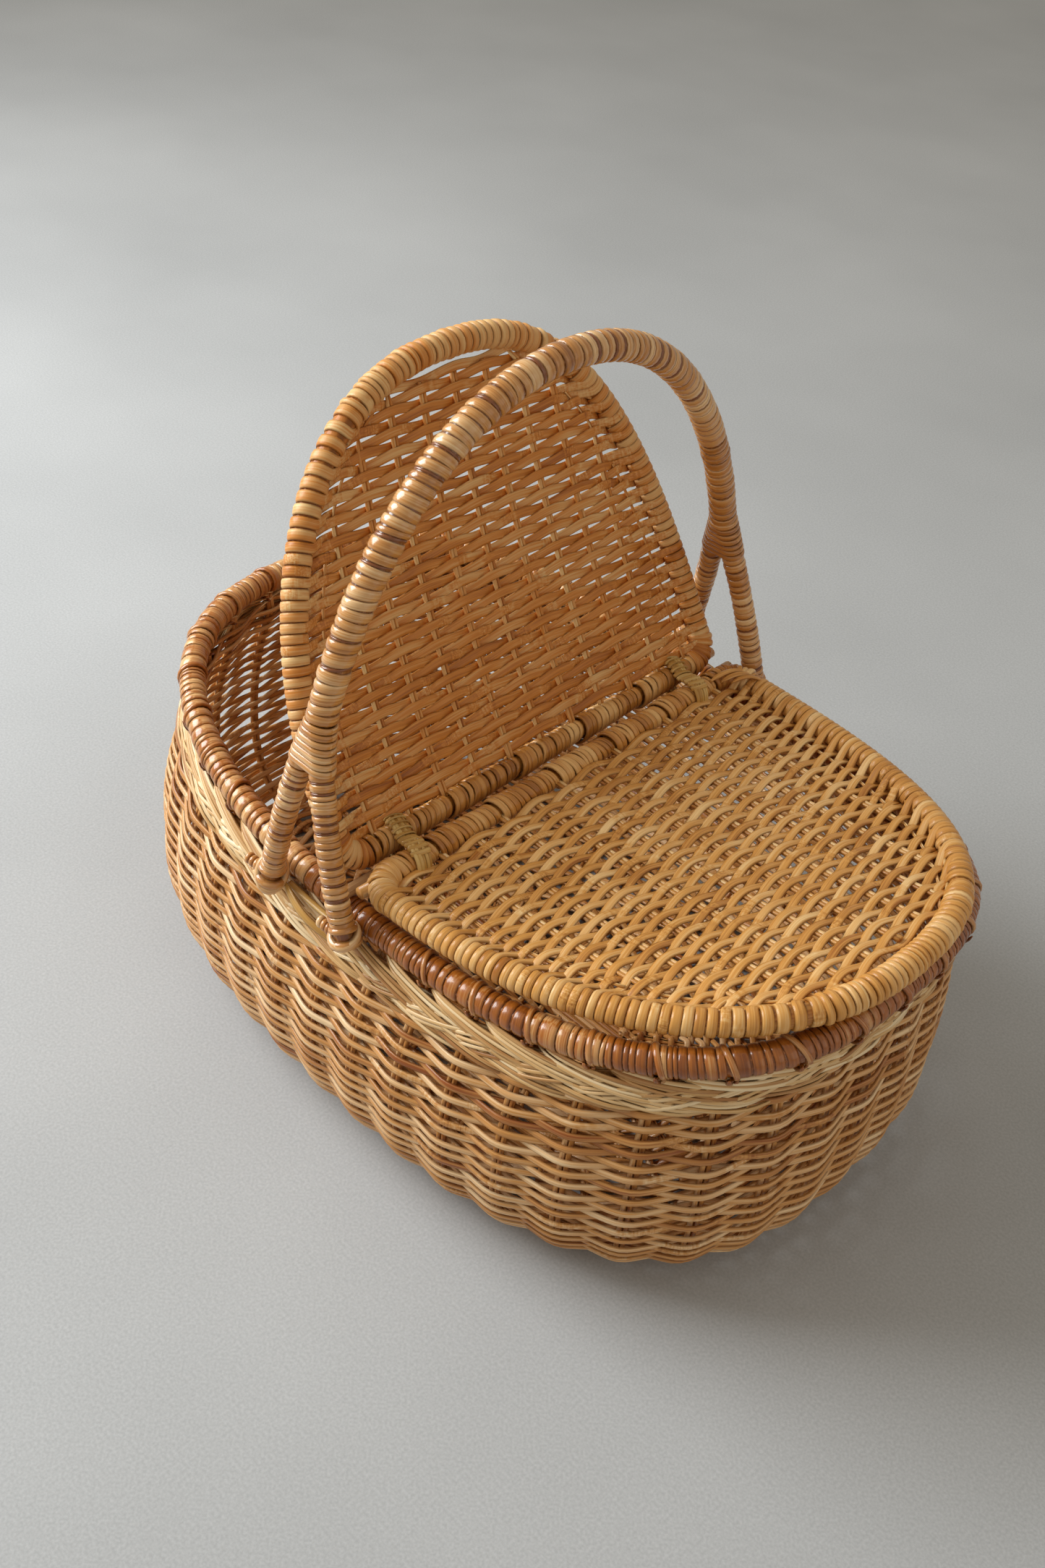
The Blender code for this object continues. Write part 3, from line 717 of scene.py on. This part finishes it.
def make_border(wall):
    """Bundles of thin reeds: those that sweep down from the hoop go under those that climb, and over."""
    border = Piece("rim_border_reeds")
    profile = travelled(wall.grid[0])[-1]
    share = np.linspace(0, 1, 26)
    sweep = (
        SWEEP_RUN,
        SWEEP_TOP + SWEEP_DROP * share**0.85,
        eased(np.interp(share, SWEEP_MARKS, SWEEP_OUT), 1) / 10000,
        0.75 + 0.25 * np.sin(np.pi * share),
    )
    climb = (
        CLIMB_RUN,
        CLIMB_START - CLIMB_RISE * smooth(share * 0.9 + 0.05),
        eased(np.interp(share, CLIMB_MARKS, CLIMB_OUT), 1) / 10000,
        np.sin(np.pi * (0.06 + 0.82 * share)),
    )
    for stake in STAKE_PLACES:
        for run, lower, outer, fan in (sweep, climb):
            tone = RNG.uniform(-0.2, 0.1)
            tilt = RNG.uniform(-0.0007, 0.0007)
            for reed in range(BORDER_REEDS):
                length = run * RNG.uniform(0.94, 1.06)
                where = stake + 0.05 + 0.06 * reed + RNG.uniform(-0.03, 0.03) + share * length
                down = lower + BORDER_REED * (reed - 1.5) * 1.1 * fan + tilt * fan
                down += wobble(share * 8, 0.0003)
                out = outer + RNG.normal(0, 0.0003) + wobble(share * 8, 0.0002)
                path, normals = wall.at(where, down.clip(0) / profile, out, down.clip(None, 0))
                width = BORDER_REED * RNG.uniform(0.8, 1.1)
                tint = np.clip(RNG.beta(1.5, 1.5) + tone + 0.15 * (reed == 0), 0, 1)
                border.strand(path, normals, width, width * 0.8, tint, sides=7, taper=3)
    border.finish("pale_cane", "pale_cane", "rim_border")


def make_hoop():
    """The hoop's winding, in stretches between lashings, and the lashings with their knots."""
    winding = Piece("rim_hoop_winding")
    lashings = Piece("rim_lashings")
    stakes = np.linspace(0, STAKES, STAKES * 12 + 1)
    rod = Rod(beside_rim(stakes, 0.0, 0.0), xyz(*rim(stakes)[1].T, 0))
    rod.core(winding, HOOP_RADIUS - HOOP_WRAP["thickness"])
    per_stake = rod.length[-1] / STAKES
    for stake in STAKE_PLACES:
        first, last = stake * per_stake, (stake + 1) * per_stake
        width = RNG.choice(HOOP_TURNS)
        lashed = not LASHING_REAR < rim(stake)[0][0] < LASHING_FRONT
        gap = LASHING_ROOM * lashed
        pale = np.interp(rim(stake + 0.5)[0][0], [-0.08, 0.0], [0.6, 0.0])
        tone = (0.1 * (1 - pale) + 0.85 * pale, 0.65 * (1 - pale))
        rod.wrap(winding, first + gap, last - gap / 2, HOOP_RADIUS, width, tone=tone, **HOOP_WRAP)
        if lashed:
            place, radius = np.array([first + 0.001]), HOOP_RADIUS + 0.001
            rod.wind(lashings, place, 0.0032, radius, 0.0012, 0.55, slant=0.0022, bulge=0.5)
            add_knot(lashings, stake)
    winding.finish("rim_wrap", "red_cane", "rim_hoop")
    nodes = [name for name in NODES if name.startswith("rim_lashing")]
    lashings.finish("rim_wrap", "red_cane", *nodes)


def add_knot(piece, stake):
    """The lashing's knot below the hoop, and its tail down behind the border."""
    share = np.linspace(0, 1, 30)
    turn = 2 * np.pi * 1.6 * share
    reach = HOOP_RADIUS + 0.0012
    angle = np.radians(-62 - 9 * np.cos(turn))
    knot = round_rim_hoop(stake + 0.02 + 0.13 * share, reach + 0.0009 * np.sin(turn), angle)
    piece.strand(*knot, 0.0022, 0.0014, RNG.uniform(0.2, 0.5), sides=6, taper=2)
    share = share[:8]
    where = stake + RNG.uniform(-0.03, 0.03) + share * 0.4
    tail = round_rim_hoop(where, reach + 0.012 * share, np.radians(-20 - 440 * share))
    piece.strand(*tail, 0.0034, 0.0018, RNG.uniform(0, 0.3), taper=2)


class Lid:
    """One lid in its own frame: u out from the hinge bar, y across, and height over its level."""

    def __init__(self, name):
        self.name = name
        vars(self).update(LIDS[name])
        joint = next(joint for joint in frame["joints"] if joint["child"] == name)
        about = Matrix.Rotation(0 if self.facing > 0 else math.pi, 4, "Z")
        turned = about @ Matrix.Rotation(-self.open, 4, "Y")
        self.matrix = Matrix.Translation(Vector(joint["pos_m"])) @ turned

    def world(self, points):
        return self.turned(points) + np.array(self.matrix.translation)

    def turned(self, vectors):
        return vectors @ np.array(self.matrix.to_3x3()).T

    def strand(self, piece, path, normals, *values, **style):
        """A strand that is given in the lid's frame."""
        piece.strand(self.world(path), self.turned(normals), *values, **style)

    def rod(self, path, side):
        return Rod(self.world(path), self.turned(side))

    def raised(self, u):
        return self.climb * (u / LID_LENGTH) ** 2

    def half_width(self, u):
        share = np.clip(1 - (np.asarray(u) / LID_LENGTH) ** LID_SQUARENESS, 0, 1)
        return LID_HALF_WIDTH * share ** (1 / LID_SQUARENESS)

    def surface(self, u, y, out):
        """Points at a height over the lid's level sheet, and its normals, in the lid's frame."""
        normal = unit(xyz(-2 * self.climb * u / LID_LENGTH**2, 0, 1))
        return xyz(u, y, self.raised(u)) + normal * np.asarray(out)[..., None], normal

    def outward(self, u, end):
        """The rim's outward direction where a row meets it."""
        across = self.half_width(u) / LID_HALF_WIDTH
        slope_u = (u / LID_LENGTH) ** (LID_SQUARENESS - 1) / LID_LENGTH
        return unit(np.array([slope_u, end * across ** (LID_SQUARENESS - 1) / LID_HALF_WIDTH, 0.0]))

    def ribs(self, u):
        """Numbers and places of the ribs that a row at u crosses: the last lean in along the rim."""
        y = RIB_NUMBERS * self.rib_spacing + self.rib_offset
        inside = abs(y) < LID_HALF_WIDTH - OUTER_RIB_INSET
        y = y * (1 - self.rib_convergence * (u / LID_LENGTH) ** 2)
        limit = self.half_width(u) - RIB_CLEARANCE
        kept = inside & (abs(y) < limit + RIB_LEAN)
        return RIB_NUMBERS[kept], np.clip(y[kept], -limit, limit)

    def wrap_width(self, u):
        """Width of a row's turn round the rim: the rows' spacing along the rim, up to a widest."""
        return min(self.row_pitch / self.outward(u, 1)[1], LID_WIDEST_WRAP) * LID_WRAP_SHARE

    def rows(self):
        last = LID_LENGTH - LID_ROD_RADIUS - self.reed_width / 2
        return np.arange(LID_FIRST_ROW, last, self.row_pitch)


def round_rim(lid, u, end, over):
    """Where a row's reed goes round the rim's rod: over it, or under it and up outside."""
    middle = np.array([u, end * lid.half_width(u), lid.raised(u)])
    turn = np.radians(np.linspace(150, -190, WRAP_STEPS)) * over
    way = around(lid.outward(u, end), UP, turn)
    return middle + way * (LID_ROD_RADIUS - LID_WRAP_THICKNESS / 2), way * over


def make_lid_weave(lid):
    """Each row's reed goes before one rib and behind the next, and the rim counts as the last rib."""
    piece = Piece(f"{lid.name}_weave")
    for row, u in enumerate(lid.rows()):
        numbers, places = lid.ribs(u)
        half = lid.half_width(u) - LID_ROD_RADIUS - ROW_END_GAP
        y = np.linspace(-half, half, max(16, int(half * 800)))
        wave = np.cos(np.pi * (np.interp(y, places, numbers) + row))
        edge = smooth(1 - (half - abs(y)) / EDGE_ZONE)
        overs = [-np.cos(np.pi * (number + row)) for number in (numbers[0], numbers[-1])]
        out = lid.weave_depth * wave * (1 - edge) + np.where(y < 0, *overs) * RIM_CROSSING * edge
        drift = lid.weave_sway * wave * (1 - edge) + wobble(y * 50, 0.0003)
        near, far = (round_rim(lid, u, end, over) for end, over in zip((-1, 1), overs))
        path, normals = (
            eased(np.concatenate([start[::-1], middle, stop]), 3)
            for start, middle, stop in zip(near, lid.surface(u + drift, y, out), far)
        )
        widths = np.full(len(path), lid.reed_width)
        widths[:WRAP_STEPS] = widths[-WRAP_STEPS:] = lid.wrap_width(u) * RNG.uniform(0.95, 1.08)
        at_rim = np.interp(from_ends(len(path)), [WRAP_STEPS - 2, WRAP_STEPS + 4], [1, 0])
        thickness = lid.reed_thickness * (1 - at_rim) + LID_WRAP_THICKNESS * at_rim
        tint = 0.25 + 0.5 * tint_along(len(path), 26) + RNG.normal(0, 0.07) + lid.wrap_tint * at_rim
        lid.strand(piece, path, normals, eased(widths, 3), thickness, tint.clip(0, 1), bulge=2.8)
    add_ribs(piece, lid)
    piece.finish("woven_lid", f"{lid.name}_cane", f"{lid.name}_panel", body=lid.name)


def add_ribs(piece, lid):
    """Pairs of thin ribs, thinner where they lean along the rim."""
    steps = np.linspace(0.003, LID_LENGTH - 0.012, 40)
    for rib in RIB_NUMBERS:
        places = [(u, y) for u in steps for number, y in zip(*lid.ribs(u)) if number == rib]
        if len(places) < 6:
            continue
        u, middle = np.array(places).T
        clear = lid.half_width(u) - abs(middle) - RIB_CLEARANCE
        size = np.interp(clear, [0.0002, 0.004], [0.45, 1])
        for side in (-1, 1):
            path, normals = lid.surface(u, middle + side * size * RIB_WIDTH * 0.49, 0.0004 * size)
            # One rib of each pair is painted paler than the other: painted light on the lit rib, painted
            # shade on its neighbour
            tint = 0.3 + 0.5 * RNG.beta(3, 2) + 0.2 * side
            lid.strand(piece, path, normals, RIB_WIDTH * size, RIB_THICKNESS * size, tint, sides=6)


def make_lid_rim(lid):
    """The rim's winding: turns that fill the stretches between the rows' reeds, and the whole tip."""
    turn = np.linspace(-np.pi / 2, np.pi / 2, 1600)
    plan, normal = superellipse(LID_LENGTH, LID_HALF_WIDTH, LID_SQUARENESS, turn)
    keep = plan[:, 0] > CORNER_BEND
    plan, normal = plan[keep], normal[keep]
    rod = lid.rod(xyz(*plan.T, lid.raised(plan[:, 0])), xyz(*normal.T, 0))
    winding = Piece(f"{lid.name}_rim_winding")
    rod.core(winding, LID_ROD_RADIUS - LID_WRAP_THICKNESS)
    tip = len(plan) // 2
    width = lid.row_pitch * LID_WRAP_SHARE
    edges = []
    for u in lid.rows():
        place, half = np.interp(u, plan[:tip, 0], rod.length[:tip]), lid.wrap_width(u) / 2
        edges.append((place - half, place + half))
    total = rod.length[-1]
    far_side = [(total - far, total - near) for near, far in reversed(edges)]
    edges = [(-1.0, 0.0), *edges, *far_side, (total, total + 1)]
    for (_, first), (last, _) in zip(edges, edges[1:]):
        if last - first >= width * 0.7:
            tone = (0.3 + lid.wrap_tint, 0.5)
            rod.wrap(winding, first, last - 0.0002, LID_ROD_RADIUS, width, tone=tone, **LID_WRAP)
    winding.finish("wrapped_rod", f"{lid.name}_cane", f"{lid.name}_rim", body=lid.name)
    for end in (-1, 1):
        make_lid_corner(lid, end)


def make_lid_corner(lid, end):
    """Turns that fan out from the bar's winding to the rim's, with loose loops at one corner."""
    place = "near" if end * lid.facing < 0 else "far"
    corner = Piece(f"{lid.name}_corner_winding_{place}")
    arc = np.linspace(0, np.pi / 2, 30)
    u = CORNER_BEND * (1 - np.sin(arc))
    y = end * (LID_HALF_WIDTH - CORNER_BEND + CORNER_BEND * np.cos(arc))
    rod = lid.rod(xyz(u, y, lid.raised(u)), xyz(-np.sin(arc), end * np.cos(arc), 0))
    rod.core(corner, BAR_RADIUS - 0.001)
    rod.wrap(corner, 0, rod.length[-1], BAR_RADIUS + 0.0009, **CORNER_WRAP)
    share = np.linspace(0, 1, 18)[:, None]
    for loop in range(LOOSE_LOOPS if place == "far" and lid.facing > 0 else 0):
        inner = np.array([0.003 + 0.004 * loop, end * (LID_HALF_WIDTH - 0.022 + 0.004 * loop), 0.005])
        outer = np.array([0.01 + 0.006 * loop, end * (LID_HALF_WIDTH + 0.004), 0.002])
        path = inner * (1 - share) + outer * share + UP * 0.005 * np.sin(np.pi * share) ** 0.8
        normals = unit(UP - (outer - inner) * np.cos(np.pi * share) * 12)
        lid.strand(corner, path, normals, 0.0034, 0.0012, RNG.beta(2, 2), taper=3)
    corner.finish("wrapped_rod", f"{lid.name}_cane", f"{lid.name}_corner_{place}", body=lid.name)


def make_lid_bar(lid):
    """The hinge bar: a rod wound in sleeves, each raised at its near end and stepped down at the far."""
    reach = LID_HALF_WIDTH - CORNER_BEND
    rod = lid.rod(xyz(0, np.linspace(-reach, reach, 60) * lid.facing, 0), AHEAD)
    winding = Piece(f"{lid.name}_bar_winding")
    rod.core(winding, BAR_RADIUS - 0.0018)
    tip = np.linspace(-1, 1, 8) * (LID_HALF_WIDTH + LID_ROD_RADIUS - 0.0008)
    lid.strand(winding, xyz(0, tip, -0.0012), UP, 0.0062, 0.0062, 0.7, sides=12, bulge=2)
    marks = np.arange(lid.first_sleeve, reach - SHORTEST_SLEEVE, lid.sleeve_pitch)
    marks = np.concatenate([[-reach], marks[marks > -reach + SHORTEST_SLEEVE], [reach]]) + reach
    for first, last in zip(marks, marks[1:]):
        where, widths, tints = turns_along(first, last - SLEEVE_GAP, 0.0036, 0.22, 0.0001)
        steps = [SLEEVE_STEP, SLEEVE_STEP * 0.5, 0]
        step = np.interp((where - first) / (last - first), [0, 0.55, 1], steps)
        radius = BAR_RADIUS - BAR_CANE_THICKNESS + step + RNG.normal(0, 0.0001, len(where))
        style = dict(slant=0.0016, start=np.pi, bulge=0.15)
        rod.wind(winding, where, widths, radius, BAR_CANE_THICKNESS, tints, **style)
    winding.finish("wrapped_rod", "bar_cane", f"{lid.name}_bar", body=lid.name)


def binding_loop(half):
    """Section of a hinge binding round two bars that stand half to each side, and its ways out."""
    reach = BAR_RADIUS + BINDING_WALL

    def arc(middle, first, last):
        turn = np.radians(np.linspace(first, last, 12))
        return np.stack([middle + reach * np.cos(turn), reach * np.sin(turn)], -1)

    dip = [[0, reach * 0.62]]
    outline = np.concatenate([arc(-half, 265, 62), dip, arc(half, 118, -85), BINDING_UNDERSIDE])
    loop = resampled(np.concatenate([outline, outline[:1]]), 60, endpoint=False)
    return loop, unit(loop - np.array([0, -0.002]))


def make_hinge_bindings():
    """Narrow canes bound round both hinge bars, drawn in and slanting where they cross between them."""
    hinge = {joint["child"]: Vector(joint["pos_m"]) for joint in frame["joints"]}
    half = (hinge["front_lid"].x - hinge["rear_lid"].x) / 2
    height = hinge["front_lid"].z
    loop, way = binding_loop(half)
    drawn = 1 - 0.2 * np.exp(-((loop[:, 0] / 0.006) ** 2))
    slant = -0.002 * loop[:, 0] / half
    top = np.flatnonzero(loop[:, 1] > 0)
    turn = np.radians(np.linspace(-8, 188, 14))
    for name in SIDES:
        low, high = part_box(f"hinge_binding_{name}")
        middle = (low.y + high.y) / 2
        piece = Piece(f"hinge_binding_{name}_canes")
        for strand in range(BINDING_STRANDS):
            number = strand - (BINDING_STRANDS - 1) / 2
            place = loop + way * (0.0004 * (strand % 2) + 0.0002)
            y = middle + number * BINDING_SPACING * drawn + slant
            path = xyz(place[:, 0], y, height + place[:, 1])
            normals = xyz(way[:, 0], 0.2 * number, way[:, 1])
            piece.strand(path, normals, 0.0021, 0.0018, RNG.beta(3, 2), closed=True)
        for x in np.linspace(-HALF_TURN_REACH, HALF_TURN_REACH, HALF_TURNS):
            at = top[abs(loop[top, 0] - x).argmin()]
            lift = way[at] * (0.0016 * np.sin(turn))[:, None] + loop[at]
            y = middle + slant[at] + 0.0046 * np.cos(turn)
            path = xyz(lift[:, 0] + 0.0012 * np.cos(turn), y, height + lift[:, 1])
            normals = xyz(way[at, 0] * np.sin(turn), np.cos(turn), way[at, 1] * np.sin(turn))
            piece.strand(path, normals, 0.0026, 0.001, RNG.beta(3, 2))
        piece.finish("pale_cane", "olive_cane", f"hinge_binding_{name}")


def leg_path(height, front, side):
    """Centre of a leg at a height. front names the foot, and side is -1 or 1."""
    share = np.clip((height - FOOT_HEIGHT) / (HANDLE_TOP - FOOT_HEIGHT), 0, 1)
    y = FOOT_Y * (1 - share**HANDLE_SQUARENESS) ** (1 / HANDLE_SQUARENESS)
    lean = (FOOT_SPREADS[front] - CROTCH_SPREAD) / (CROTCH_HEIGHT - FOOT_HEIGHT)
    spread = FOOT_SPREADS[front] - (height - FOOT_HEIGHT) * lean
    ahead = 1 if front == "front" else -1
    return xyz(HANDLE_X + ahead * spread, side * y, height)


def make_handle():
    turn = np.linspace(np.pi, 0, 900)
    plan, _ = superellipse(FOOT_Y, HANDLE_TOP - FOOT_HEIGHT, HANDLE_SQUARENESS, turn)
    curve = xyz(HANDLE_X, plan[:, 0], FOOT_HEIGHT + plan[:, 1])
    rod = Rod(curve[curve[:, 2] > CROTCH_HEIGHT + FORK_LENGTH], AHEAD)
    winding = Piece("handle_arch_winding")
    rod.core(winding, ARCH_RADIUS - CORE_SINK, 0.0)
    rod.wrap(winding, 0, rod.length[-1], ARCH_RADIUS, **ARCH_WRAP)
    winding.finish("handle_wrap", "straw_cane", "handle_arch")
    for name, side in SIDES.items():
        make_fork(name, side)
        for front in FOOT_SPREADS:
            make_leg(name, side, front)


def make_fork(name, side):
    """Turns that widen from the single arch to the two legs."""
    share = (np.arange(FORK_TURNS) + 0.5) / FORK_TURNS
    height = CROTCH_HEIGHT + FORK_LENGTH * (1 - share)
    front = leg_path(height, "front", side)
    higher = leg_path(height + 0.001, "front", side)
    way = unit((higher - front) * np.array([0, 1, 1]))
    centre = front * np.array([0, 1, 1]) + np.array([HANDLE_X, 0, 0])
    turn = -2 * np.pi * (np.arange(24) + 0.5) / 24
    outward = around(AHEAD, np.cross(way, AHEAD), turn)
    thickness = 0.0012
    radius = ARCH_RADIUS + (LEG_RADIUS + 0.0004 - ARCH_RADIUS) * share - thickness + 0.0003
    spread = CROTCH_SPREAD * share[:, None] * np.sign(np.cos(turn))
    loops = centre[:, None] + outward * radius[:, None, None] + AHEAD * spread[..., None]
    piece = Piece(f"fork_winding_{name}")
    width = FORK_LENGTH / FORK_TURNS + 0.0002
    piece.bands(loops, outward, way, width, thickness, band_tints(FORK_TURNS))
    piece.finish("handle_wrap", "straw_cane", f"fork_binding_{name}")


def make_leg(name, side, front):
    """A leg's winding, the thick turns at its foot, and the peg beside it."""
    foot = f"{name}_{front}"
    low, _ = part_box(f"handle_leg_{foot}")
    height = np.linspace(low.z + 0.001, CROTCH_HEIGHT, 40)
    rod = Rod(leg_path(height, front, side), np.array([0.0, side, 0.0]))
    winding = Piece(f"leg_winding_{foot}")
    rod.core(winding, LEG_RADIUS - CORE_SINK, 0.0)
    rod.wrap(winding, 0.009, rod.length[-1], LEG_RADIUS, **LEG_WRAP)
    winding.finish("handle_wrap", "straw_cane", f"handle_leg_{foot}")

    knot = Piece(f"foot_knot_{foot}")
    radius = LEG_RADIUS + np.array([0.0021, 0.0023, 0.001])
    style = dict(slant=np.array([0.0006, -0.0024, 0.002]), bulge=0.7)
    where, widths, tints = [0.0026, 0.0056, 0.0092], [0.005, 0.0046, 0.0036], [0.5, 0.75, 0.4]
    rod.wind(knot, where, widths, radius, 0.0024, tints, **style)
    knot.finish("handle_wrap", "straw_cane", f"foot_binding_{foot}")

    low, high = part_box(f"foot_peg_{foot}")
    _, y, z = (low + high) / 2
    peg = Rod(np.array([[low.x, y, z], [high.x, y, z]]), np.array([0.0, side, 0.0]))
    wrap = Piece(f"foot_peg_winding_{foot}")
    radius = (high.z - low.z) / 2
    peg.core(wrap, radius - CORE_SINK)
    peg.wrap(wrap, 0, peg.length[-1], radius, **PEG_WRAP)
    wrap.finish("handle_wrap", "straw_cane", f"foot_peg_{foot}")


def make_foot_loops():
    """A round cane from foot to foot on the border, with a flat one that crosses it."""
    stakes = np.linspace(0, STAKES, FINE + 1)
    point, _, _ = rim(stakes)
    share = np.linspace(0, 1, 20)
    for name, side in SIDES.items():
        low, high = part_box(f"foot_loop_{name}")
        on_side = np.sign(point[:, 1]) == side
        order = np.argsort(point[on_side, 0])
        x = np.linspace(low.x, high.x, len(share))
        where = np.interp(x, point[on_side, 0][order], stakes[on_side][order])
        _, normal, _ = rim(where)
        reach = between(*BORDER_REACH, normal)
        drop = between(*BORDER_DROP, normal)
        outward = xyz(*normal.T, 0)
        piece = Piece(f"foot_tie_{name}")
        path = beside_rim(where, reach - 0.0023, 0.0068 - drop)
        piece.strand(path, outward * 0.3 + UP, 0.0032, 0.0016, 0.6)
        reach = reach + 0.0005 + 0.004 * np.sin(np.pi * share)
        path = beside_rim(where, reach, 0.0085 - drop - 0.0085 * share)
        piece.strand(path, outward + UP * 0.4, 0.0046, 0.0014, 0.4, taper=2)
        piece.finish("pale_cane", "olive_cane", f"foot_loop_{name}")


def make_stage():
    looks = Looks("studio_floor", {"Roughness": 0.9, "Specular IOR Level": 0.2})
    place = looks.add("ShaderNodeTexCoord")["Object"]
    tones = [
        looks.mapped(looks.noise(place, (scale,) * 3, detail), 0.3, 0.7, low, high)
        for scale, detail, low, high in FLOOR_NOISE
    ]
    colour = looks.product((*FLOOR_COLOUR, 1), looks.math("MULTIPLY", *tones))
    looks.put(looks.shader, {"Base Color": colour})
    mesh = bpy.data.meshes.new("studio_floor")
    corners = [(x * FLOOR_REACH, y * FLOOR_REACH, 0) for x, y in ((-1, -1), (1, -1), (1, 1), (-1, 1))]
    mesh.from_pydata(corners, [], [(0, 1, 2, 3)])
    mesh.materials.append(looks.material)
    floor = placed("studio_floor", mesh)

    world = bpy.data.worlds.new("studio")
    bpy.context.scene.world = world
    world.use_nodes = True
    background = world.node_tree.nodes["Background"]
    background.inputs["Color"].default_value = (*WORLD_COLOUR, 1)
    background.inputs["Strength"].default_value = WORLD_STRENGTH
    for name, (way, distance, size, power, colour) in LAMPS.items():
        data = bpy.data.lights.new(name, "AREA")
        data.size, data.energy, data.color = size, power, colour
        way = Vector(way).normalized()
        lamp = placed(name, data)
        lamp.location = Vector((0, 0, 0.1)) + way * distance
        lamp.rotation_euler = way.to_track_quat("Z", "Y").to_euler()


def make_camera():
    ahead = (Vector(TARGET) - Vector(EYE)).normalized()
    right = ahead.cross(Vector((0, 0, 1))).normalized()
    level = Matrix((right, right.cross(ahead), -ahead)).transposed().to_4x4()
    data = bpy.data.cameras.new("camera")
    data.lens = LENS
    data.sensor_width = 36
    data.clip_start = 0.01
    camera = placed("camera", data)
    camera.matrix_world = Matrix.Translation(Vector(EYE)) @ level @ Matrix.Rotation(ROLL, 4, "Z")
    bpy.context.scene.camera = camera


# Canes: dark, middle and pale colour, roughness, coat and how far their edges darken, partly as their
# own skin and partly as painted shade between strands
CANE_LOOKS = {
    "wall_cane": ((0.28, 0.075, 0.012), (0.6, 0.28, 0.075), (0.85, 0.6, 0.34), 0.42, 0.25, 0.6),
    "pale_cane": ((0.36, 0.15, 0.04), (0.66, 0.4, 0.16), (0.88, 0.7, 0.44), 0.42, 0.2, 0.3),
    "red_cane": ((0.2, 0.052, 0.007), (0.385, 0.116, 0.013), (0.76, 0.46, 0.19), 0.32, 0.7, 0.5),
    "straw_cane": ((0.22, 0.062, 0.01), (0.56, 0.24, 0.054), (0.84, 0.58, 0.3), 0.36, 1.0, 0.5),
    "olive_cane": ((0.3, 0.12, 0.02), (0.54, 0.29, 0.065), (0.72, 0.49, 0.18), 0.38, 0.3, 0.6),
    "bar_cane": ((0.28, 0.09, 0.012), (0.58, 0.25, 0.05), (0.8, 0.48, 0.18), 0.36, 0.4, 0.6),
    "front_lid_cane": ((0.34, 0.11, 0.015), (0.67, 0.32, 0.075), (0.88, 0.6, 0.28), 0.4, 0.25, 0.55),
    # The rear lid's cane is the front lid's cane painted darker and redder: painted shade, as the raised
    # lid stands in shade
    "rear_lid_cane": ((0.33, 0.095, 0.012), (0.6, 0.225, 0.038), (0.76, 0.5, 0.22), 0.48, 0.12, 0.5),
}
CANES = {name: cane(name, *values) for name, values in CANE_LOOKS.items()}

wall_sheet = make_wall_sheet()
make_wall(wall_sheet)
make_base(wall_sheet)
make_border(wall_sheet)
make_hoop()
for lid in map(Lid, LIDS):
    make_lid_weave(lid)
    make_lid_rim(lid)
    make_lid_bar(lid)
make_hinge_bindings()
make_handle()
make_foot_loops()
NODES["centre_bar"].data.materials[0] = bare_wood((0.42, 0.22, 0.09), (0.6, 0.36, 0.17))
make_stage()
make_camera()
bpy.context.scene.view_settings.view_transform = "Standard"
